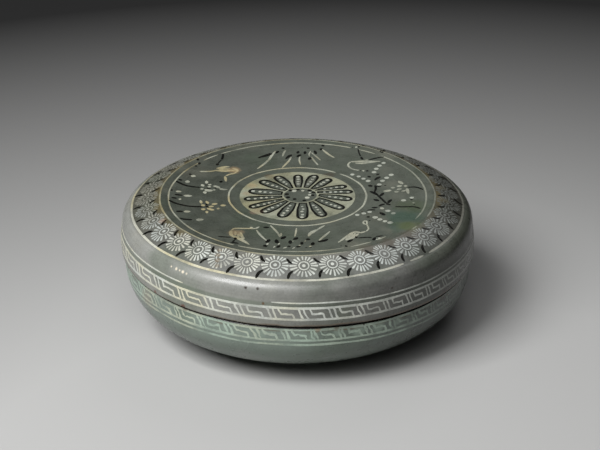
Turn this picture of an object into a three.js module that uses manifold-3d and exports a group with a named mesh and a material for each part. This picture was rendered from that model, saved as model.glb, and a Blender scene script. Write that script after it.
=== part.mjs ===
// A low, round lidded box of inlaid celadon stoneware.
//
// The box is a bowl on a foot ring. A ledge at its rim carries the lid, and an upright lip inside
// the ledge keeps the lid centred. The lid has a slightly dished field inside a ridge, a sloped
// band, a rounded shoulder and a swelling side. Lines, a flower medallion and two key-fret bands
// are cut in the clay and filled with slip of another colour, and each filling is its own piece.
//
// Units are millimetres. The origin is the middle of the foot ring, on the surface that the box
// stands on, and Z points up.

import * as THREE from "three";
import { mergeVertices } from "three/addons/utils/BufferGeometryUtils.js";
import Module from "manifold-3d";

const wasm = await Module();
wasm.setup();

// Box: bowl, foot ring, ledge and lip
const BODY_HEIGHT = 38.1;
const BODY_RADIUS = 91.4;
const BOWL_DEPTH = 42;
const BOWL_WALL = 5;
const FLOOR_THICKNESS = 5;
const FOOT_HEIGHT = 2.2;
const FOOT_TAPER = 1;
const FOOT_WIDTH = 6;
const FOOT_RECESS = 3;
const LEDGE_WIDTH = 3.9;
const LIP_HEIGHT = 6;
const LIP_THICKNESS = 3.3;
const EDGE_ROUNDING = 0.8;

// Lid: field, band, shoulder, side and rim. Its side stands out a little past the box, and the
// shoulder, the band and the field follow inwards from it.
const LID_HEIGHT = 30.1;
const LID_OVERHANG = 1.7;
const LID_THICKNESS = 5.5;
const SHOULDER_WIDTH = 6.1;
const BAND_WIDTH = 14.9;
const LID_RADIUS = BODY_RADIUS + LID_OVERHANG;
const FIELD_RADIUS = LID_RADIUS - SHOULDER_WIDTH - BAND_WIDTH;
const FIELD_DISH = 1.2;
const BAND_DROP = 6.1;
const BAND_BULGE = 1 / 3;
const SHOULDER_DROP = 8.4;
const SHOULDER_FULLNESS = 1 / 6;
const SIDE_SWELL = 0.95;
const SWELL_HEIGHT = 6;
const RIM_BEVEL = 1;

// Running clearances between the lid and the box
const SEAT_GAP = 0.3;
const LIP_CLEARANCE = 0.5;

// Inlaid lines: V grooves filled with pale slip
const LINE_WIDTH = 0.9;
const LINE_DEPTH = 0.8;
const INLAY_GAP = 0.1;
const FIELD_LINE_SPACING = 4.6;
const LID_LINE_OFFSET = 2.5;
const BOX_LINE_OFFSET = 2.2;

// Key-fret bands: an openwork strip of strokes between two lines, in a shallow channel
const FRET_UNITS = 36;
const FRET_HEIGHT = 7;
const FRET_DEPTH = 1;
const FRET_SEAT_GAP = 0.25;
const FRET_EDGE_GAP = 0.15;
const FRET_LINE = 0.9;
const FRET_STROKE = 0.7;
const FRET_SLANT = 2.6;
// Places of the strokes along one unit, as shares of its length
const SECOND_BAR = 0.16;
const HOOK_TOP = 0.37;
const HOOK_FOOT = 0.75;
const LID_FRET_RISE = 4.6;
const BOX_FRET_DROP = 0.8;
const FRET_BOW = 0.001;

// Flower medallion: a white ground with sixteen outlined petals round a dark eye, and a line round it
const MEDALLION_RADIUS = 30.3;
const MEDALLION_RING_SPACING = 5.8;
const MEDALLION_RING_RADIUS = MEDALLION_RADIUS + MEDALLION_RING_SPACING;
const MEDALLION_DEPTH = 0.9;
const MEDALLION_GAP = 0.15;
const EYE_RADIUS = 7.6;
const EYE_SHIFT_X = 1.6;
const EYE_SHIFT_Y = 1.6;
const PETAL_TIP_MARGIN = 1.9;
const PETAL_TIP_RADIUS = MEDALLION_RADIUS - PETAL_TIP_MARGIN;
const PETAL_ROOT_RADIUS = 10.8;
const PETAL_TIP_LENGTH = 4.2;
const PETAL_HALF_WIDTH = 3.1;
const PETAL_ROOT_HALF_WIDTH = 1.6;
const PETAL_OUTLINE = 1.1;
// The flower is cut by hand, so its petals aren't evenly spaced
const PETAL_ANGLES = [90, 70, 51, 27, 9, -10, -34, -62, -86, -109, -131, -151, -172, 164, 136, 115];

// Facets round the turned pieces
const TURNED_FACETS = 40;
const EYE_FACETS = 20;
const PETAL_TIP_STEPS = 4;
const SHOULDER_STEPS = 3;
const BOWL_STEPS = 5;
const HOLLOW_STEPS = 4;

// Heights and radii that follow from the sizes above
const rimZ = BODY_HEIGHT + SEAT_GAP;
const topZ = rimZ + LID_HEIGHT;
const shoulderRadius = FIELD_RADIUS + BAND_WIDTH;
const shoulderEdge = shoulderRadius + LINE_WIDTH / 2;
const sideTopZ = topZ - BAND_DROP - SHOULDER_DROP;
const swellZ = rimZ + SWELL_HEIGHT;
const lipRadius = BODY_RADIUS - LEDGE_WIDTH;
const lidInnerRadius = lipRadius + LIP_CLEARANCE;
const floorZ = FOOT_RECESS + FLOOR_THICKNESS;
const medallionZ = topZ - FIELD_DISH;
const lidFret = { low: rimZ + LID_FRET_RISE, high: rimZ + LID_FRET_RISE + FRET_HEIGHT };
const boxFret = { low: BODY_HEIGHT - BOX_FRET_DROP - FRET_HEIGHT, high: BODY_HEIGHT - BOX_FRET_DROP };
const lidLineZ = lidFret.high + LID_LINE_OFFSET;
const boxLineZ = boxFret.low - BOX_LINE_OFFSET;

// Glaze and slip colours
const celadonLid = new THREE.MeshStandardMaterial({ color: 0x6b736a, roughness: 0.28, metalness: 0 });
const celadonBox = new THREE.MeshStandardMaterial({ color: 0x727c72, roughness: 0.28, metalness: 0 });
const paleSlip = new THREE.MeshStandardMaterial({ color: 0xc6c9b2, roughness: 0.3, metalness: 0 });
const blackSlip = new THREE.MeshStandardMaterial({ color: 0x1d1f1b, roughness: 0.3, metalness: 0 });

// Height of the lid's top surface at a radius: flat medallion, dished field, then the sloped band
function topHeight(radius) {
  if (radius <= MEDALLION_RADIUS) return medallionZ;
  if (radius <= FIELD_RADIUS) {
    const share = (radius - MEDALLION_RADIUS) / (FIELD_RADIUS - MEDALLION_RADIUS);
    return medallionZ + FIELD_DISH * share ** 2;
  }
  const share = (radius - FIELD_RADIUS) / BAND_WIDTH;
  return topZ - BAND_DROP * ((1 - BAND_BULGE) * share + BAND_BULGE * share ** 2);
}

// Radius of the lid's side at a height, widest where it swells
function sideRadius(z) {
  return LID_RADIUS - SIDE_SWELL * ((z - swellZ) / (sideTopZ - swellZ)) ** 2;
}

// Radius of the bowl's outside at a height: nearly upright at the ledge, turning under to the foot
function bowlRadius(z) {
  return BODY_RADIUS * Math.sqrt(1 - ((BODY_HEIGHT - z) / BOWL_DEPTH) ** 3);
}

// Radius of the bowl's inside at a height, the same curve drawn inside the lip
function hollowRadius(z) {
  const depth = BOWL_DEPTH - BOWL_WALL;
  return (lipRadius - LIP_THICKNESS) * Math.sqrt(1 - ((BODY_HEIGHT - z) / depth) ** 3);
}

// Profile points are (radius, height)
const point = (radius, z) => new THREE.Vector2(radius, z);
const onTop = (radius) => point(radius, topHeight(radius));
const onSide = (z) => point(sideRadius(z), z);
const onBowl = (z) => point(bowlRadius(z), z);
const downwards = point(0, -1);
const inwards = point(-1, 0);

// A V groove across a surface, or with an inset the filling that sits in it. The surface gives the
// profile point at a place along it.
function groove(surface, place, inward, inset = 0) {
  const half = LINE_WIDTH / 2;
  const wall = Math.hypot(half, LINE_DEPTH);
  const edge = half - inset * wall / LINE_DEPTH;
  const depth = LINE_DEPTH - inset * wall / half;
  const bottom = surface(place).addScaledVector(inward, depth);
  return [surface(place - edge), bottom, surface(place + edge)];
}

// Evenly spaced values from one number to another, ends included
function steps(from, to, count) {
  return Array.from({ length: count + 1 }, (_, i) => from + (to - from) * i / count);
}

// A geometry with only position, its doubled vertices joined and its collapsed triangles dropped
function welded(geometry) {
  geometry.deleteAttribute("normal");
  geometry.deleteAttribute("uv");
  const merged = mergeVertices(geometry, 1e-4);
  const corners = merged.index.array;
  const kept = [];
  for (let i = 0; i < corners.length; i += 3) {
    const [a, b, c] = [corners[i], corners[i + 1], corners[i + 2]];
    if (a !== b && b !== c && c !== a) kept.push(a, b, c);
  }
  merged.setIndex(kept);
  return merged;
}

// A turned solid. Its outline runs anticlockwise in (radius, height), from the axis to the axis or
// round on itself.
function turned(profile) {
  const first = profile[0];
  const onAxis = first.x === 0;
  const outline = onAxis ? profile : [...profile, first];
  return welded(new THREE.LatheGeometry(outline, TURNED_FACETS).rotateX(Math.PI / 2));
}

// A flat plate between two heights
function plate(shape, low, high) {
  const geometry = new THREE.ExtrudeGeometry(shape, { depth: high - low, bevelEnabled: false });
  return welded(geometry.translate(0, 0, low));
}

// Box: from the middle of the underside round the foot, bowl, ledge and lip to the floor inside
function boxBody() {
  const footEdge = bowlRadius(FOOT_HEIGHT) - FOOT_TAPER;
  const recessEdge = footEdge - FOOT_WIDTH;
  const channel = Math.min(bowlRadius(boxFret.low), bowlRadius(boxFret.high)) - FRET_DEPTH;
  const lipTop = BODY_HEIGHT + LIP_HEIGHT;
  const lipInner = lipRadius - LIP_THICKNESS;
  return turned([
    point(0, FOOT_RECESS),
    point(recessEdge - FOOT_TAPER, FOOT_RECESS),
    point(recessEdge, 0),
    point(footEdge, 0),
    ...steps(FOOT_HEIGHT, boxLineZ - LINE_WIDTH, BOWL_STEPS).map(onBowl),
    ...groove(onBowl, boxLineZ, inwards),
    onBowl(boxFret.low),
    point(channel, boxFret.low),
    point(channel, boxFret.high),
    onBowl(boxFret.high),
    point(BODY_RADIUS - EDGE_ROUNDING, BODY_HEIGHT),
    point(lipRadius, BODY_HEIGHT),
    point(lipRadius, lipTop - EDGE_ROUNDING),
    point(lipRadius - EDGE_ROUNDING, lipTop),
    point(lipInner, lipTop),
    ...steps(BODY_HEIGHT, floorZ, HOLLOW_STEPS).map((z) => point(hollowRadius(z), z)),
    point(0, floorZ),
  ]);
}

// Lid: from the middle of the ceiling out to the rim, up the side and in over the shoulder
function lidBlank() {
  const shoulder = new THREE.QuadraticBezierCurve(
    onSide(sideTopZ),
    point(sideRadius(sideTopZ), topHeight(shoulderEdge) - SHOULDER_DROP * SHOULDER_FULLNESS),
    onTop(shoulderEdge),
  );
  const channel = Math.min(sideRadius(lidFret.low), sideRadius(lidFret.high)) - FRET_DEPTH;
  const ceilingZ = topZ - LID_THICKNESS;
  const cornerZ = ceilingZ - BAND_DROP;
  const fieldMiddle = (MEDALLION_RING_RADIUS + FIELD_RADIUS) / 2;
  return turned([
    point(0, medallionZ - LID_THICKNESS),
    point(FIELD_RADIUS, ceilingZ),
    point(lidInnerRadius - LID_THICKNESS, cornerZ),
    point(lidInnerRadius, cornerZ - LID_THICKNESS),
    point(lidInnerRadius, rimZ),
    point(BODY_RADIUS - EDGE_ROUNDING, rimZ),
    onSide(rimZ + RIM_BEVEL),
    onSide(lidFret.low),
    point(channel, lidFret.low),
    point(channel, lidFret.high),
    onSide(lidFret.high),
    ...groove(onSide, lidLineZ, inwards),
    ...shoulder.getPoints(SHOULDER_STEPS).slice(0, -1),
    ...groove(onTop, shoulderRadius, downwards).reverse(),
    onTop(FIELD_RADIUS + BAND_WIDTH / 2),
    ...groove(onTop, FIELD_RADIUS, downwards).reverse(),
    ...groove(onTop, FIELD_RADIUS - FIELD_LINE_SPACING, downwards).reverse(),
    onTop(fieldMiddle),
    ...groove(onTop, MEDALLION_RING_RADIUS, downwards).reverse(),
    point(0, medallionZ),
  ]);
}

// The slip that fills a groove
function line(surface, place, inward) {
  const filling = groove(surface, place, inward, INLAY_GAP);
  return turned(inward === inwards ? filling.reverse() : filling);
}

function circle(radius, facets, x = 0, y = 0) {
  const path = new THREE.Path().absarc(x, y, radius, 0, Math.PI * 2);
  return path.getPoints(facets);
}

// A petal drawn a clear distance inside its opening, from its root round its tip and back. It
// points from the flower's eye, which sits off centre, to its tip.
function petal(angle, inset) {
  const eye = new THREE.Vector2(EYE_SHIFT_X, EYE_SHIFT_Y);
  const turn = THREE.MathUtils.degToRad(angle);
  const axis = new THREE.Vector2(Math.cos(turn), Math.sin(turn)).multiplyScalar(PETAL_TIP_RADIUS).sub(eye);
  const length = axis.length() - PETAL_ROOT_RADIUS;
  axis.normalize();
  const across = new THREE.Vector2(-axis.y, axis.x);
  const half = PETAL_HALF_WIDTH - inset;
  const rootHalf = PETAL_ROOT_HALF_WIDTH - inset;
  const widest = length - PETAL_TIP_LENGTH;
  const tipLength = PETAL_TIP_LENGTH - inset;
  const tip = steps(-Math.PI / 2, Math.PI / 2, PETAL_TIP_STEPS).map((t) => (
    [widest + tipLength * Math.cos(t), half * Math.sin(t)]
  ));
  return [[inset, -rootHalf], ...tip, [inset, rootHalf]].map(([along, out]) => eye.clone()
    .addScaledVector(axis, PETAL_ROOT_RADIUS + along)
    .addScaledVector(across, out));
}

// Clear distances kept inside a petal's opening by its black outline and by the clay left standing
const outlineOuter = MEDALLION_GAP;
const outlineInner = MEDALLION_GAP + PETAL_OUTLINE;
const standingClay = outlineInner + MEDALLION_GAP;

function holed(outer, holes) {
  const shape = new THREE.Shape(outer);
  shape.holes = holes.map((hole) => new THREE.Path(hole));
  return shape;
}

const inlaid = (shape) => plate(shape, medallionZ - MEDALLION_DEPTH, medallionZ);
const eyeCircle = (radius) => circle(radius, EYE_FACETS, EYE_SHIFT_X, EYE_SHIFT_Y);

// The white ground, with an opening for each petal and for the eye
function medallionGround() {
  const openings = PETAL_ANGLES.map((angle) => petal(angle, 0));
  const eyeOpening = eyeCircle(EYE_RADIUS + MEDALLION_GAP);
  return inlaid(holed(circle(MEDALLION_RADIUS, TURNED_FACETS), [...openings, eyeOpening]));
}

function petalOutline(angle) {
  return inlaid(holed(petal(angle, outlineOuter), [petal(angle, outlineInner)]));
}

// Booleans
function solid(geometry) {
  const vertProperties = new Float32Array(geometry.attributes.position.array);
  const triVerts = new Uint32Array(geometry.index.array);
  return new wasm.Manifold(new wasm.Mesh({ numProp: 3, vertProperties, triVerts }));
}

function geometryOf(manifold) {
  const mesh = manifold.getMesh();
  const geometry = new THREE.BufferGeometry();
  geometry.setAttribute("position", new THREE.BufferAttribute(new Float32Array(mesh.vertProperties), 3));
  geometry.setIndex(new THREE.BufferAttribute(new Uint32Array(mesh.triVerts), 1));
  return geometry;
}

// The lid's shell, with the medallion's recess cut round the clay left standing in each petal
function lidShell() {
  const petals = PETAL_ANGLES.map((angle) => petal(angle, standingClay));
  const recess = holed(circle(MEDALLION_RADIUS + MEDALLION_GAP, TURNED_FACETS), petals);
  const cutter = plate(recess, medallionZ - MEDALLION_DEPTH, medallionZ + MEDALLION_DEPTH);
  return geometryOf(solid(lidBlank()).subtract(solid(cutter)));
}

// One unit of the key fret, drawn flat: x runs round the wall and y up it. Between the two lines
// stand two slanted bars and a hook that steps down from the upper line to the lower one. The
// outline leaves the unit open to the next one along its cuts, where the lines run on.
function fretUnit(pitch) {
  const low = FRET_EDGE_GAP;
  const high = FRET_HEIGHT - FRET_EDGE_GAP;
  const lineLow = low + FRET_LINE;
  const lineHigh = high - FRET_LINE;
  const stepTop = (low + high + FRET_STROKE) / 2;
  const stepFoot = stepTop - FRET_STROKE;
  const lean = (y) => FRET_SLANT * (lineHigh - y) / (lineHigh - lineLow);
  const left = (share, y) => new THREE.Vector2(share * pitch + lean(y), y);
  const right = (share, y) => new THREE.Vector2(share * pitch + FRET_STROKE + lean(y), y);
  const lowEdge = (share) => new THREE.Vector2(share * pitch + FRET_SLANT, low);
  const highEdge = (share) => new THREE.Vector2(share * pitch, high);
  const outline = [
    lowEdge(0), lowEdge(0.5), lowEdge(1),
    left(1, lineLow), right(HOOK_FOOT, lineLow), right(HOOK_FOOT, stepTop),
    right(HOOK_TOP, stepTop), right(HOOK_TOP, lineHigh), left(1, lineHigh),
    highEdge(1), highEdge(0.5), highEdge(0),
    left(0, lineHigh), left(0, lineLow),
  ];
  const cuts = [lowEdge(1), left(1, lineHigh), highEdge(0), left(0, lineLow)];
  const holes = [
    [
      right(0, lineHigh), left(SECOND_BAR, lineHigh),
      left(SECOND_BAR, lineLow), right(0, lineLow),
    ],
    [
      right(SECOND_BAR, lineHigh), left(HOOK_TOP, lineHigh), left(HOOK_TOP, stepFoot),
      left(HOOK_FOOT, stepFoot), left(HOOK_FOOT, lineLow), right(SECOND_BAR, lineLow),
    ],
  ];
  return { outline, cuts, holes };
}

// The fret bent round a wall: the unit repeats, and its outer face follows the wall's radius
function fretBand(band, wallRadius) {
  const inner = Math.min(wallRadius(band.low), wallRadius(band.high)) - FRET_DEPTH + FRET_SEAT_GAP;
  const turn = 2 * Math.PI / FRET_UNITS;
  const drawnRadius = wallRadius(band.low);
  const { outline, cuts, holes } = fretUnit(turn * drawnRadius);
  const rings = [outline, ...holes];
  const drawn = rings.flat();
  // The drawing is bowed a little while it is cut into triangles, because points that lie in one
  // straight row would be skipped
  const bow = ({ x, y }) => new THREE.Vector2(x, y + FRET_BOW * x * (x - turn * drawnRadius));
  const faces = THREE.ShapeUtils.triangulateShape(outline.map(bow), holes.map((hole) => hole.map(bow)));
  const corners = [];
  for (let unit = 0; unit < FRET_UNITS; unit += 1) {
    const bent = ({ x, y }, radius) => {
      const angle = x / drawnRadius + unit * turn;
      corners.push(radius * Math.sin(angle), -radius * Math.cos(angle), band.low + y);
    };
    const outside = (corner) => bent(corner, wallRadius(band.low + corner.y));
    const inside = (corner) => bent(corner, inner);
    for (const [a, b, c] of faces) {
      [a, b, c].forEach((i) => outside(drawn[i]));
      [c, b, a].forEach((i) => inside(drawn[i]));
    }
    for (const ring of rings) {
      ring.forEach((from, i) => {
        if (cuts.some((cut) => cut.equals(from))) return;
        const to = ring[(i + 1) % ring.length];
        inside(from);
        inside(to);
        outside(to);
        inside(from);
        outside(to);
        outside(from);
      });
    }
  }
  const geometry = new THREE.BufferGeometry();
  geometry.setAttribute("position", new THREE.Float32BufferAttribute(corners, 3));
  return welded(geometry);
}

// Assembly
const parts = new THREE.Group();

function add(name, geometry, material) {
  const mesh = new THREE.Mesh(geometry, material);
  mesh.name = name;
  parts.add(mesh);
}

add("box_body", boxBody(), celadonBox);
add("box_fret_band", fretBand(boxFret, bowlRadius), paleSlip);
add("box_lower_line", line(onBowl, boxLineZ, inwards), paleSlip);

add("lid_shell", lidShell(), celadonLid);
add("lid_fret_band", fretBand(lidFret, sideRadius), paleSlip);
add("lid_upper_line", line(onSide, lidLineZ, inwards), paleSlip);
add("band_outer_ring", line(onTop, shoulderRadius, downwards), paleSlip);
add("field_outer_ring", line(onTop, FIELD_RADIUS, downwards), paleSlip);
add("field_inner_ring", line(onTop, FIELD_RADIUS - FIELD_LINE_SPACING, downwards), paleSlip);
add("medallion_ring", line(onTop, MEDALLION_RING_RADIUS, downwards), paleSlip);
add("medallion_ground", medallionGround(), paleSlip);
add("medallion_core", inlaid(new THREE.Shape(eyeCircle(EYE_RADIUS))), blackSlip);
PETAL_ANGLES.forEach((angle, i) => {
  add(`petal_outline_${String(i + 1).padStart(2, "0")}`, petalOutline(angle), blackSlip);
});

export default parts;
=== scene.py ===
# A low, round lidded box of inlaid celadon stoneware, closed, on a pale studio floor.
#
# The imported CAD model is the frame. Finer pieces of the same form stand for its solids: the two
# glazed halves are turned on a fine outline, and the inlaid slips are thin plates that lie on the
# glaze and reach a little into it. Sizes are in millimetres, as in the CAD source, and become
# metres when a mesh is made. X points right, Y away from the camera and Z up.

import math
import random

import bmesh
import bpy
from mathutils import Matrix, Vector
from mathutils.geometry import tessellate_polygon


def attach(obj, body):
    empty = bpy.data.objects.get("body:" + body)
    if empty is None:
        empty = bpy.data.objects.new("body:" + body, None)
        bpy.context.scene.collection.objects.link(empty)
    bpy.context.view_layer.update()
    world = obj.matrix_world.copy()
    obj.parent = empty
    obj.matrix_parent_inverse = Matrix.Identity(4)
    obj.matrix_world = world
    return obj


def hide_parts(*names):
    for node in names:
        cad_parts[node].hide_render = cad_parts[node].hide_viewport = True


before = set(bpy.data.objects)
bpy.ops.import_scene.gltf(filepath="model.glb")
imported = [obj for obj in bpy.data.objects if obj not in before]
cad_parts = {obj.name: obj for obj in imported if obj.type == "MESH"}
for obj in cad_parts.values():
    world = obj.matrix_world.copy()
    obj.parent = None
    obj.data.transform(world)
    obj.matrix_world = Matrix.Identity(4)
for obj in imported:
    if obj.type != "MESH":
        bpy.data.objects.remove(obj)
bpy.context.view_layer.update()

MM = 0.001

# Box: bowl, foot ring, ledge and lip
BODY_HEIGHT = 38.1
BODY_RADIUS = 91.4
BOWL_DEPTH = 42
BOWL_WALL = 5
FOOT_HEIGHT = 2.2
FOOT_TAPER = 1
FOOT_WIDTH = 6
FOOT_RECESS = 3
FLOOR_HEIGHT = 8
LIP_RADIUS = 87.5
LIP_THICKNESS = 3.3
LIP_HEIGHT = 6
EDGE_ROUNDING = 0.8
EDGE_BEVEL = 1

# Lid: field, band, shoulder, side and rim
RIM_HEIGHT = 38.4
TOP_HEIGHT = 68.5
LID_RADIUS = 93.1
LID_INNER_RADIUS = 88
LID_THICKNESS = 5.5
FIELD_RADIUS = 72.1
FIELD_DISH = 1.2
BAND_WIDTH = 14.9
BAND_DROP = 6.1
BAND_BULGE = 1 / 3
SHOULDER_RADIUS = 87.0
SHOULDER_EDGE = 87.45
SHOULDER_DROP = 8.4
SHOULDER_FULLNESS = 1 / 6
SIDE_TOP = 54
SWELL_HEIGHT = 44.4
SIDE_SWELL = 0.95
RIM_BEVEL = 1
RIM_DEPTH = 4

# Inlaid lines and bands
RING_POINTS = 360
RING_ROWS = 4
LINE_UNEVENNESS = 0.16
MEDALLION_RADIUS = 30.3
MEDALLION_RING_RADIUS = 36.1
FIELD_LINE_RADIUS = 67.5
LID_LINE_HEIGHT = 52.3
BOX_LINE_HEIGHT = 28.1
MEDALLION_LINE_WIDTH = 1.0
LID_LINE_WIDTH = 0.7
LID_LINE_LEAN = 0.7
BAND_LINE_WIDTH = 1.1
RIDGE_LINE_WIDTH = 0.85

# The pot is a little out of true: its seam and the bands beside it stand higher on the left. The heights
# are where this starts, is full, begins to fade and ends.
WARP_RISE = 0.35
WARP_TILT = 1.45
WARP_HEIGHTS = (8, 27, 53, 60)

# Places in degrees from the front, towards the right, where a line is missing, and half lengths
RIDGE_LINE_BREAKS = [(21.5, 1.5), (40, 13), (62, 5)]
FIELD_LINE_BREAKS = [
    (34.5, 1.2), (21.6, 1.0), (52, 11), (152, 1.4), (139, 1.2), (219, 1.0), (230.5, 1.2), (333, 0.8),
]
MEDALLION_LINE_BREAKS = [(143, 1.6)]
BAND_LINE_BREAKS = [(38.5, 1.0), (47.5, 0.9)]
LID_LINE_BREAKS = [(337, 15)]

# Key frets: strokes between two lines, drawn flat with X round the wall
FRET_UNITS = 36
FRET_LINE = 1.15
LID_FRET_STROKE = 0.95
BOX_FRET_STROKE = 1.15
FRET_SLANT = 2.7
SECOND_BAR = 0.16
HOOK_TOP = 0.37
HOOK_FOOT = 0.75
FRET_STEP = 0.35
LID_FRET = (43.5, 49.6)
BOX_FRET = (30.8, 36.9)

# How far each fret is turned round, and how much its units are drawn together on the right and between
# the front and the back, in degrees
LID_FRET_SPACING = (0, 3.7, 11.2)
BOX_FRET_SPACING = (3.5, 6.6, 4.4)

# Blossoms in the band round the top, cut in five ways that take turns
BLOSSOMS = 35
BLOSSOM_PLACE = 78.7
FIRST_BLOSSOM = 2.2
BLOSSOM_PETALS = (18, 20, 19, 21, 18)
BLOSSOM_DOT = 0.9
BLOSSOM_RING = 2.4
BLOSSOM_RING_WIDTH = 0.6
BLOSSOM_PETAL_START = 3.4
BLOSSOM_REACH_OUT = 6.7
BLOSSOM_REACH_SIDE = 6.9
BLOSSOM_REACH_IN = 5.8
BLOSSOM_PETAL_SHARE = 0.46
BLOSSOM_PETAL_END = 0.35
BLOSSOM_PETAL_SHAPE = (0.5, 0.78, 1, 0.55)

# How far a blossom's petals stray: in turn, as a share of their spacing, and where they start and end
BLOSSOM_TURN_STRAYS = 0.16
BLOSSOM_START_STRAYS = 0.15
BLOSSOM_END_STRAYS = (-0.35, 0.25)

# How much the copies round the band differ in turn, in size as a share, and in place in metres
BLOSSOM_JITTER = (0.1, 0.02, 0.0002)
TICK_JITTER = (0.14, 0.1, 0.0003)
COMMA_SEED = 11
TICK_SEED = 13

# Flower in the middle. For each petal: its tip, the turn of its root round the eye in degrees, and its
# half widths at the root and at its widest.
PETALS = [
    ((0.3, 27.0), 95.5, 1.6, 2.7), ((9.6, 26.7), 72.1, 1.4, 3.1), ((17.8, 21.9), 51, 1.1, 3.1),
    ((26.3, 12.2), 37.4, 0.5, 2.8), ((29.4, 5.0), 23.1, 1.2, 2.7), ((28.8, -4.8), 1, 1.4, 3.3),
    ((24.0, -16.6), -27.3, 2.3, 3.4), ((13.4, -25.9), -55.4, 1.4, 3.3), ((2.4, -28.6), -82.2, 2.1, 3.2),
    ((-8.7, -26.5), -111.5, 1.8, 3.4), ((-18.6, -21.0), -135.1, 1.2, 3.2), ((-25.2, -14.4), -152.5, 0.8, 2.9),
    ((-28.2, -4.0), -169.7, 1.2, 3.0), ((-26.0, 6.4), 165.3, 2.1, 4.0), ((-20.0, 19.6), 138.3, 1.5, 3.6),
    ((-11.4, 25.6), 117, 1.1, 3.2),
]
PETAL_TIP_LENGTH = 1.3
PETAL_WIDEST = 0.62
PETAL_OUTLINE = 1.45
PETAL_BULGE = 1.3
PETAL_NARROWEST = 0.2
PETAL_SIDE_STEPS = 10
PETAL_TIP_STEPS = 6
ROOT_INSET = 0.6
SPOKE_WIDTH = 0.85
EYE_CENTRE = (1.5, 0.75)
EYE_RADIUS = 8.65
ROOT_REACH = 9.6
FIRST_BUD = 2.9
BUD_STEP = 3.1
ROOT_ROOM = 6.5
TIP_BUD = 0.95
BUD_SHRINKS = 0.07
BUD_STRAYS = (0.4, 0.35)

# Dots, which are set on points, and how much they differ in size as a share
DOT_SIDES = 10
DOT_JITTER = 0.12
DOT_SEED = 3

# How finely the two halves are turned
TURNED_SEGMENTS = 240
OUTLINE_STEP = 0.25
OUTLINE_BEND = math.radians(1.5)
OUTLINE_REACH = 4
SIDE_STEPS = 40
TOP_STEPS = 180
BOWL_STEPS = 60

# How often the outlines' corners are rounded off
LID_ROUNDING = 4
LID_INSIDE_ROUNDING = 60
BOX_ROUNDING = 6
BOX_INSIDE_ROUNDING = 200

# How far an inlay stands on the glaze and reaches into it. Black slip crosses over the pale one.
PROUD = 0.05
BLACK_LIFT = 0.03
SUNK = 0.3
SHARP_ANGLE = math.radians(50)

# How many waves a hand-cut line makes round the pot, in its course and in its width, what is left of its
# width at an end, how much it gains from one point to the next, and how far it wanders in millimetres
COURSE_WAVES = (3, 7, 17)
WIDTH_WAVES = (5, 11, 29)
RUN_END = 0.4
RUN_GAINS = 0.3
TOP_WANDER = 0.2
LID_WANDER = 0.15
BOX_WANDER = 0.3
BOX_LINE_WANDER = 0.4

# How many times to the metre a hand wavers as it cuts a fret, and how far, in metres
HAND_SCALE = 260.0
LID_WOBBLE = 0.0016
BOX_WOBBLE = 0.0034
FRET_PLACE_JITTER = 0.0002
FRET_SEED = 4

# A stroke is fullest at this share of its length. Its ends are round, and not thinner than a share.
STROKE_STEP = 0.8
STROKE_FULLEST = 0.4
STROKE_END = math.sqrt(0.12)

# A cut spreads a little when it is filled and fired. On the box the fillings have run.
PALE_SPREAD = 1.1
SPRAY_SPREAD = 1.35
BLACK_SPREAD = 1.65
BOX_UNEVENNESS = 0.3


# Outlines

def top_height(radius):
    """Height of the lid's top at a radius: flat middle, dished field, then the sloped band."""
    if radius <= MEDALLION_RADIUS:
        return TOP_HEIGHT - FIELD_DISH
    if radius <= FIELD_RADIUS:
        share = (radius - MEDALLION_RADIUS) / (FIELD_RADIUS - MEDALLION_RADIUS)
        return TOP_HEIGHT - FIELD_DISH + FIELD_DISH * share ** 2
    share = (radius - FIELD_RADIUS) / BAND_WIDTH
    return TOP_HEIGHT - BAND_DROP * ((1 - BAND_BULGE) * share + BAND_BULGE * share ** 2)


def side_radius(z):
    """Radius of the lid's side at a height, widest where it swells."""
    return LID_RADIUS - SIDE_SWELL * ((z - SWELL_HEIGHT) / (SIDE_TOP - SWELL_HEIGHT)) ** 2


def bowl_radius(z):
    """Radius of the box's outside at a height, upright at the ledge and turning under to the foot."""
    return BODY_RADIUS * math.sqrt(1 - ((BODY_HEIGHT - z) / BOWL_DEPTH) ** 3)


def hollow_radius(z):
    """Radius of the box's inside at a height."""
    share = (BODY_HEIGHT - z) / (BOWL_DEPTH - BOWL_WALL)
    return (LIP_RADIUS - LIP_THICKNESS) * math.sqrt(1 - share ** 3)


def warp(turn, z):
    """How far a point of the pot stands above its true height."""
    start, full, fade, end = WARP_HEIGHTS
    share = max(0, min(1, (z - start) / (full - start), (end - z) / (end - fade)))
    return (WARP_RISE - WARP_TILT * math.sin(turn)) * share ** 2 * (3 - 2 * share)


def steps(start, end, count):
    """Evenly spaced values from one number to another, ends included."""
    return [start + (end - start) * i / count for i in range(count + 1)]


def spaced(points, step):
    """Points at even steps along a chain of straight lines, its two ends included."""
    out = [Vector(points[0])]
    for a, b in zip(points, points[1:]):
        a, b = Vector(a), Vector(b)
        count = max(1, round((b - a).length / step))
        out += [a.lerp(b, i / count) for i in range(1, count + 1)]
    return out


def softened(points, passes):
    """A chain of points with its corners rounded, as glaze rounds them. Its ends stay."""
    for _ in range(passes):
        middle = [(a + 2 * b + c) / 4 for a, b, c in zip(points, points[1:], points[2:])]
        points = [points[0], *middle, points[-1]]
    return points


def thinned(points):
    """The same chain with points only where it bends, or every few millimetres."""
    kept = [points[0]]
    for i in range(1, len(points) - 1):
        run = points[i] - kept[-1]
        ahead = points[i + 1] - points[i]
        if run.angle(ahead, 0) > OUTLINE_BEND or run.length > OUTLINE_REACH:
            kept.append(points[i])
    return [*kept, points[-1]]


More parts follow.
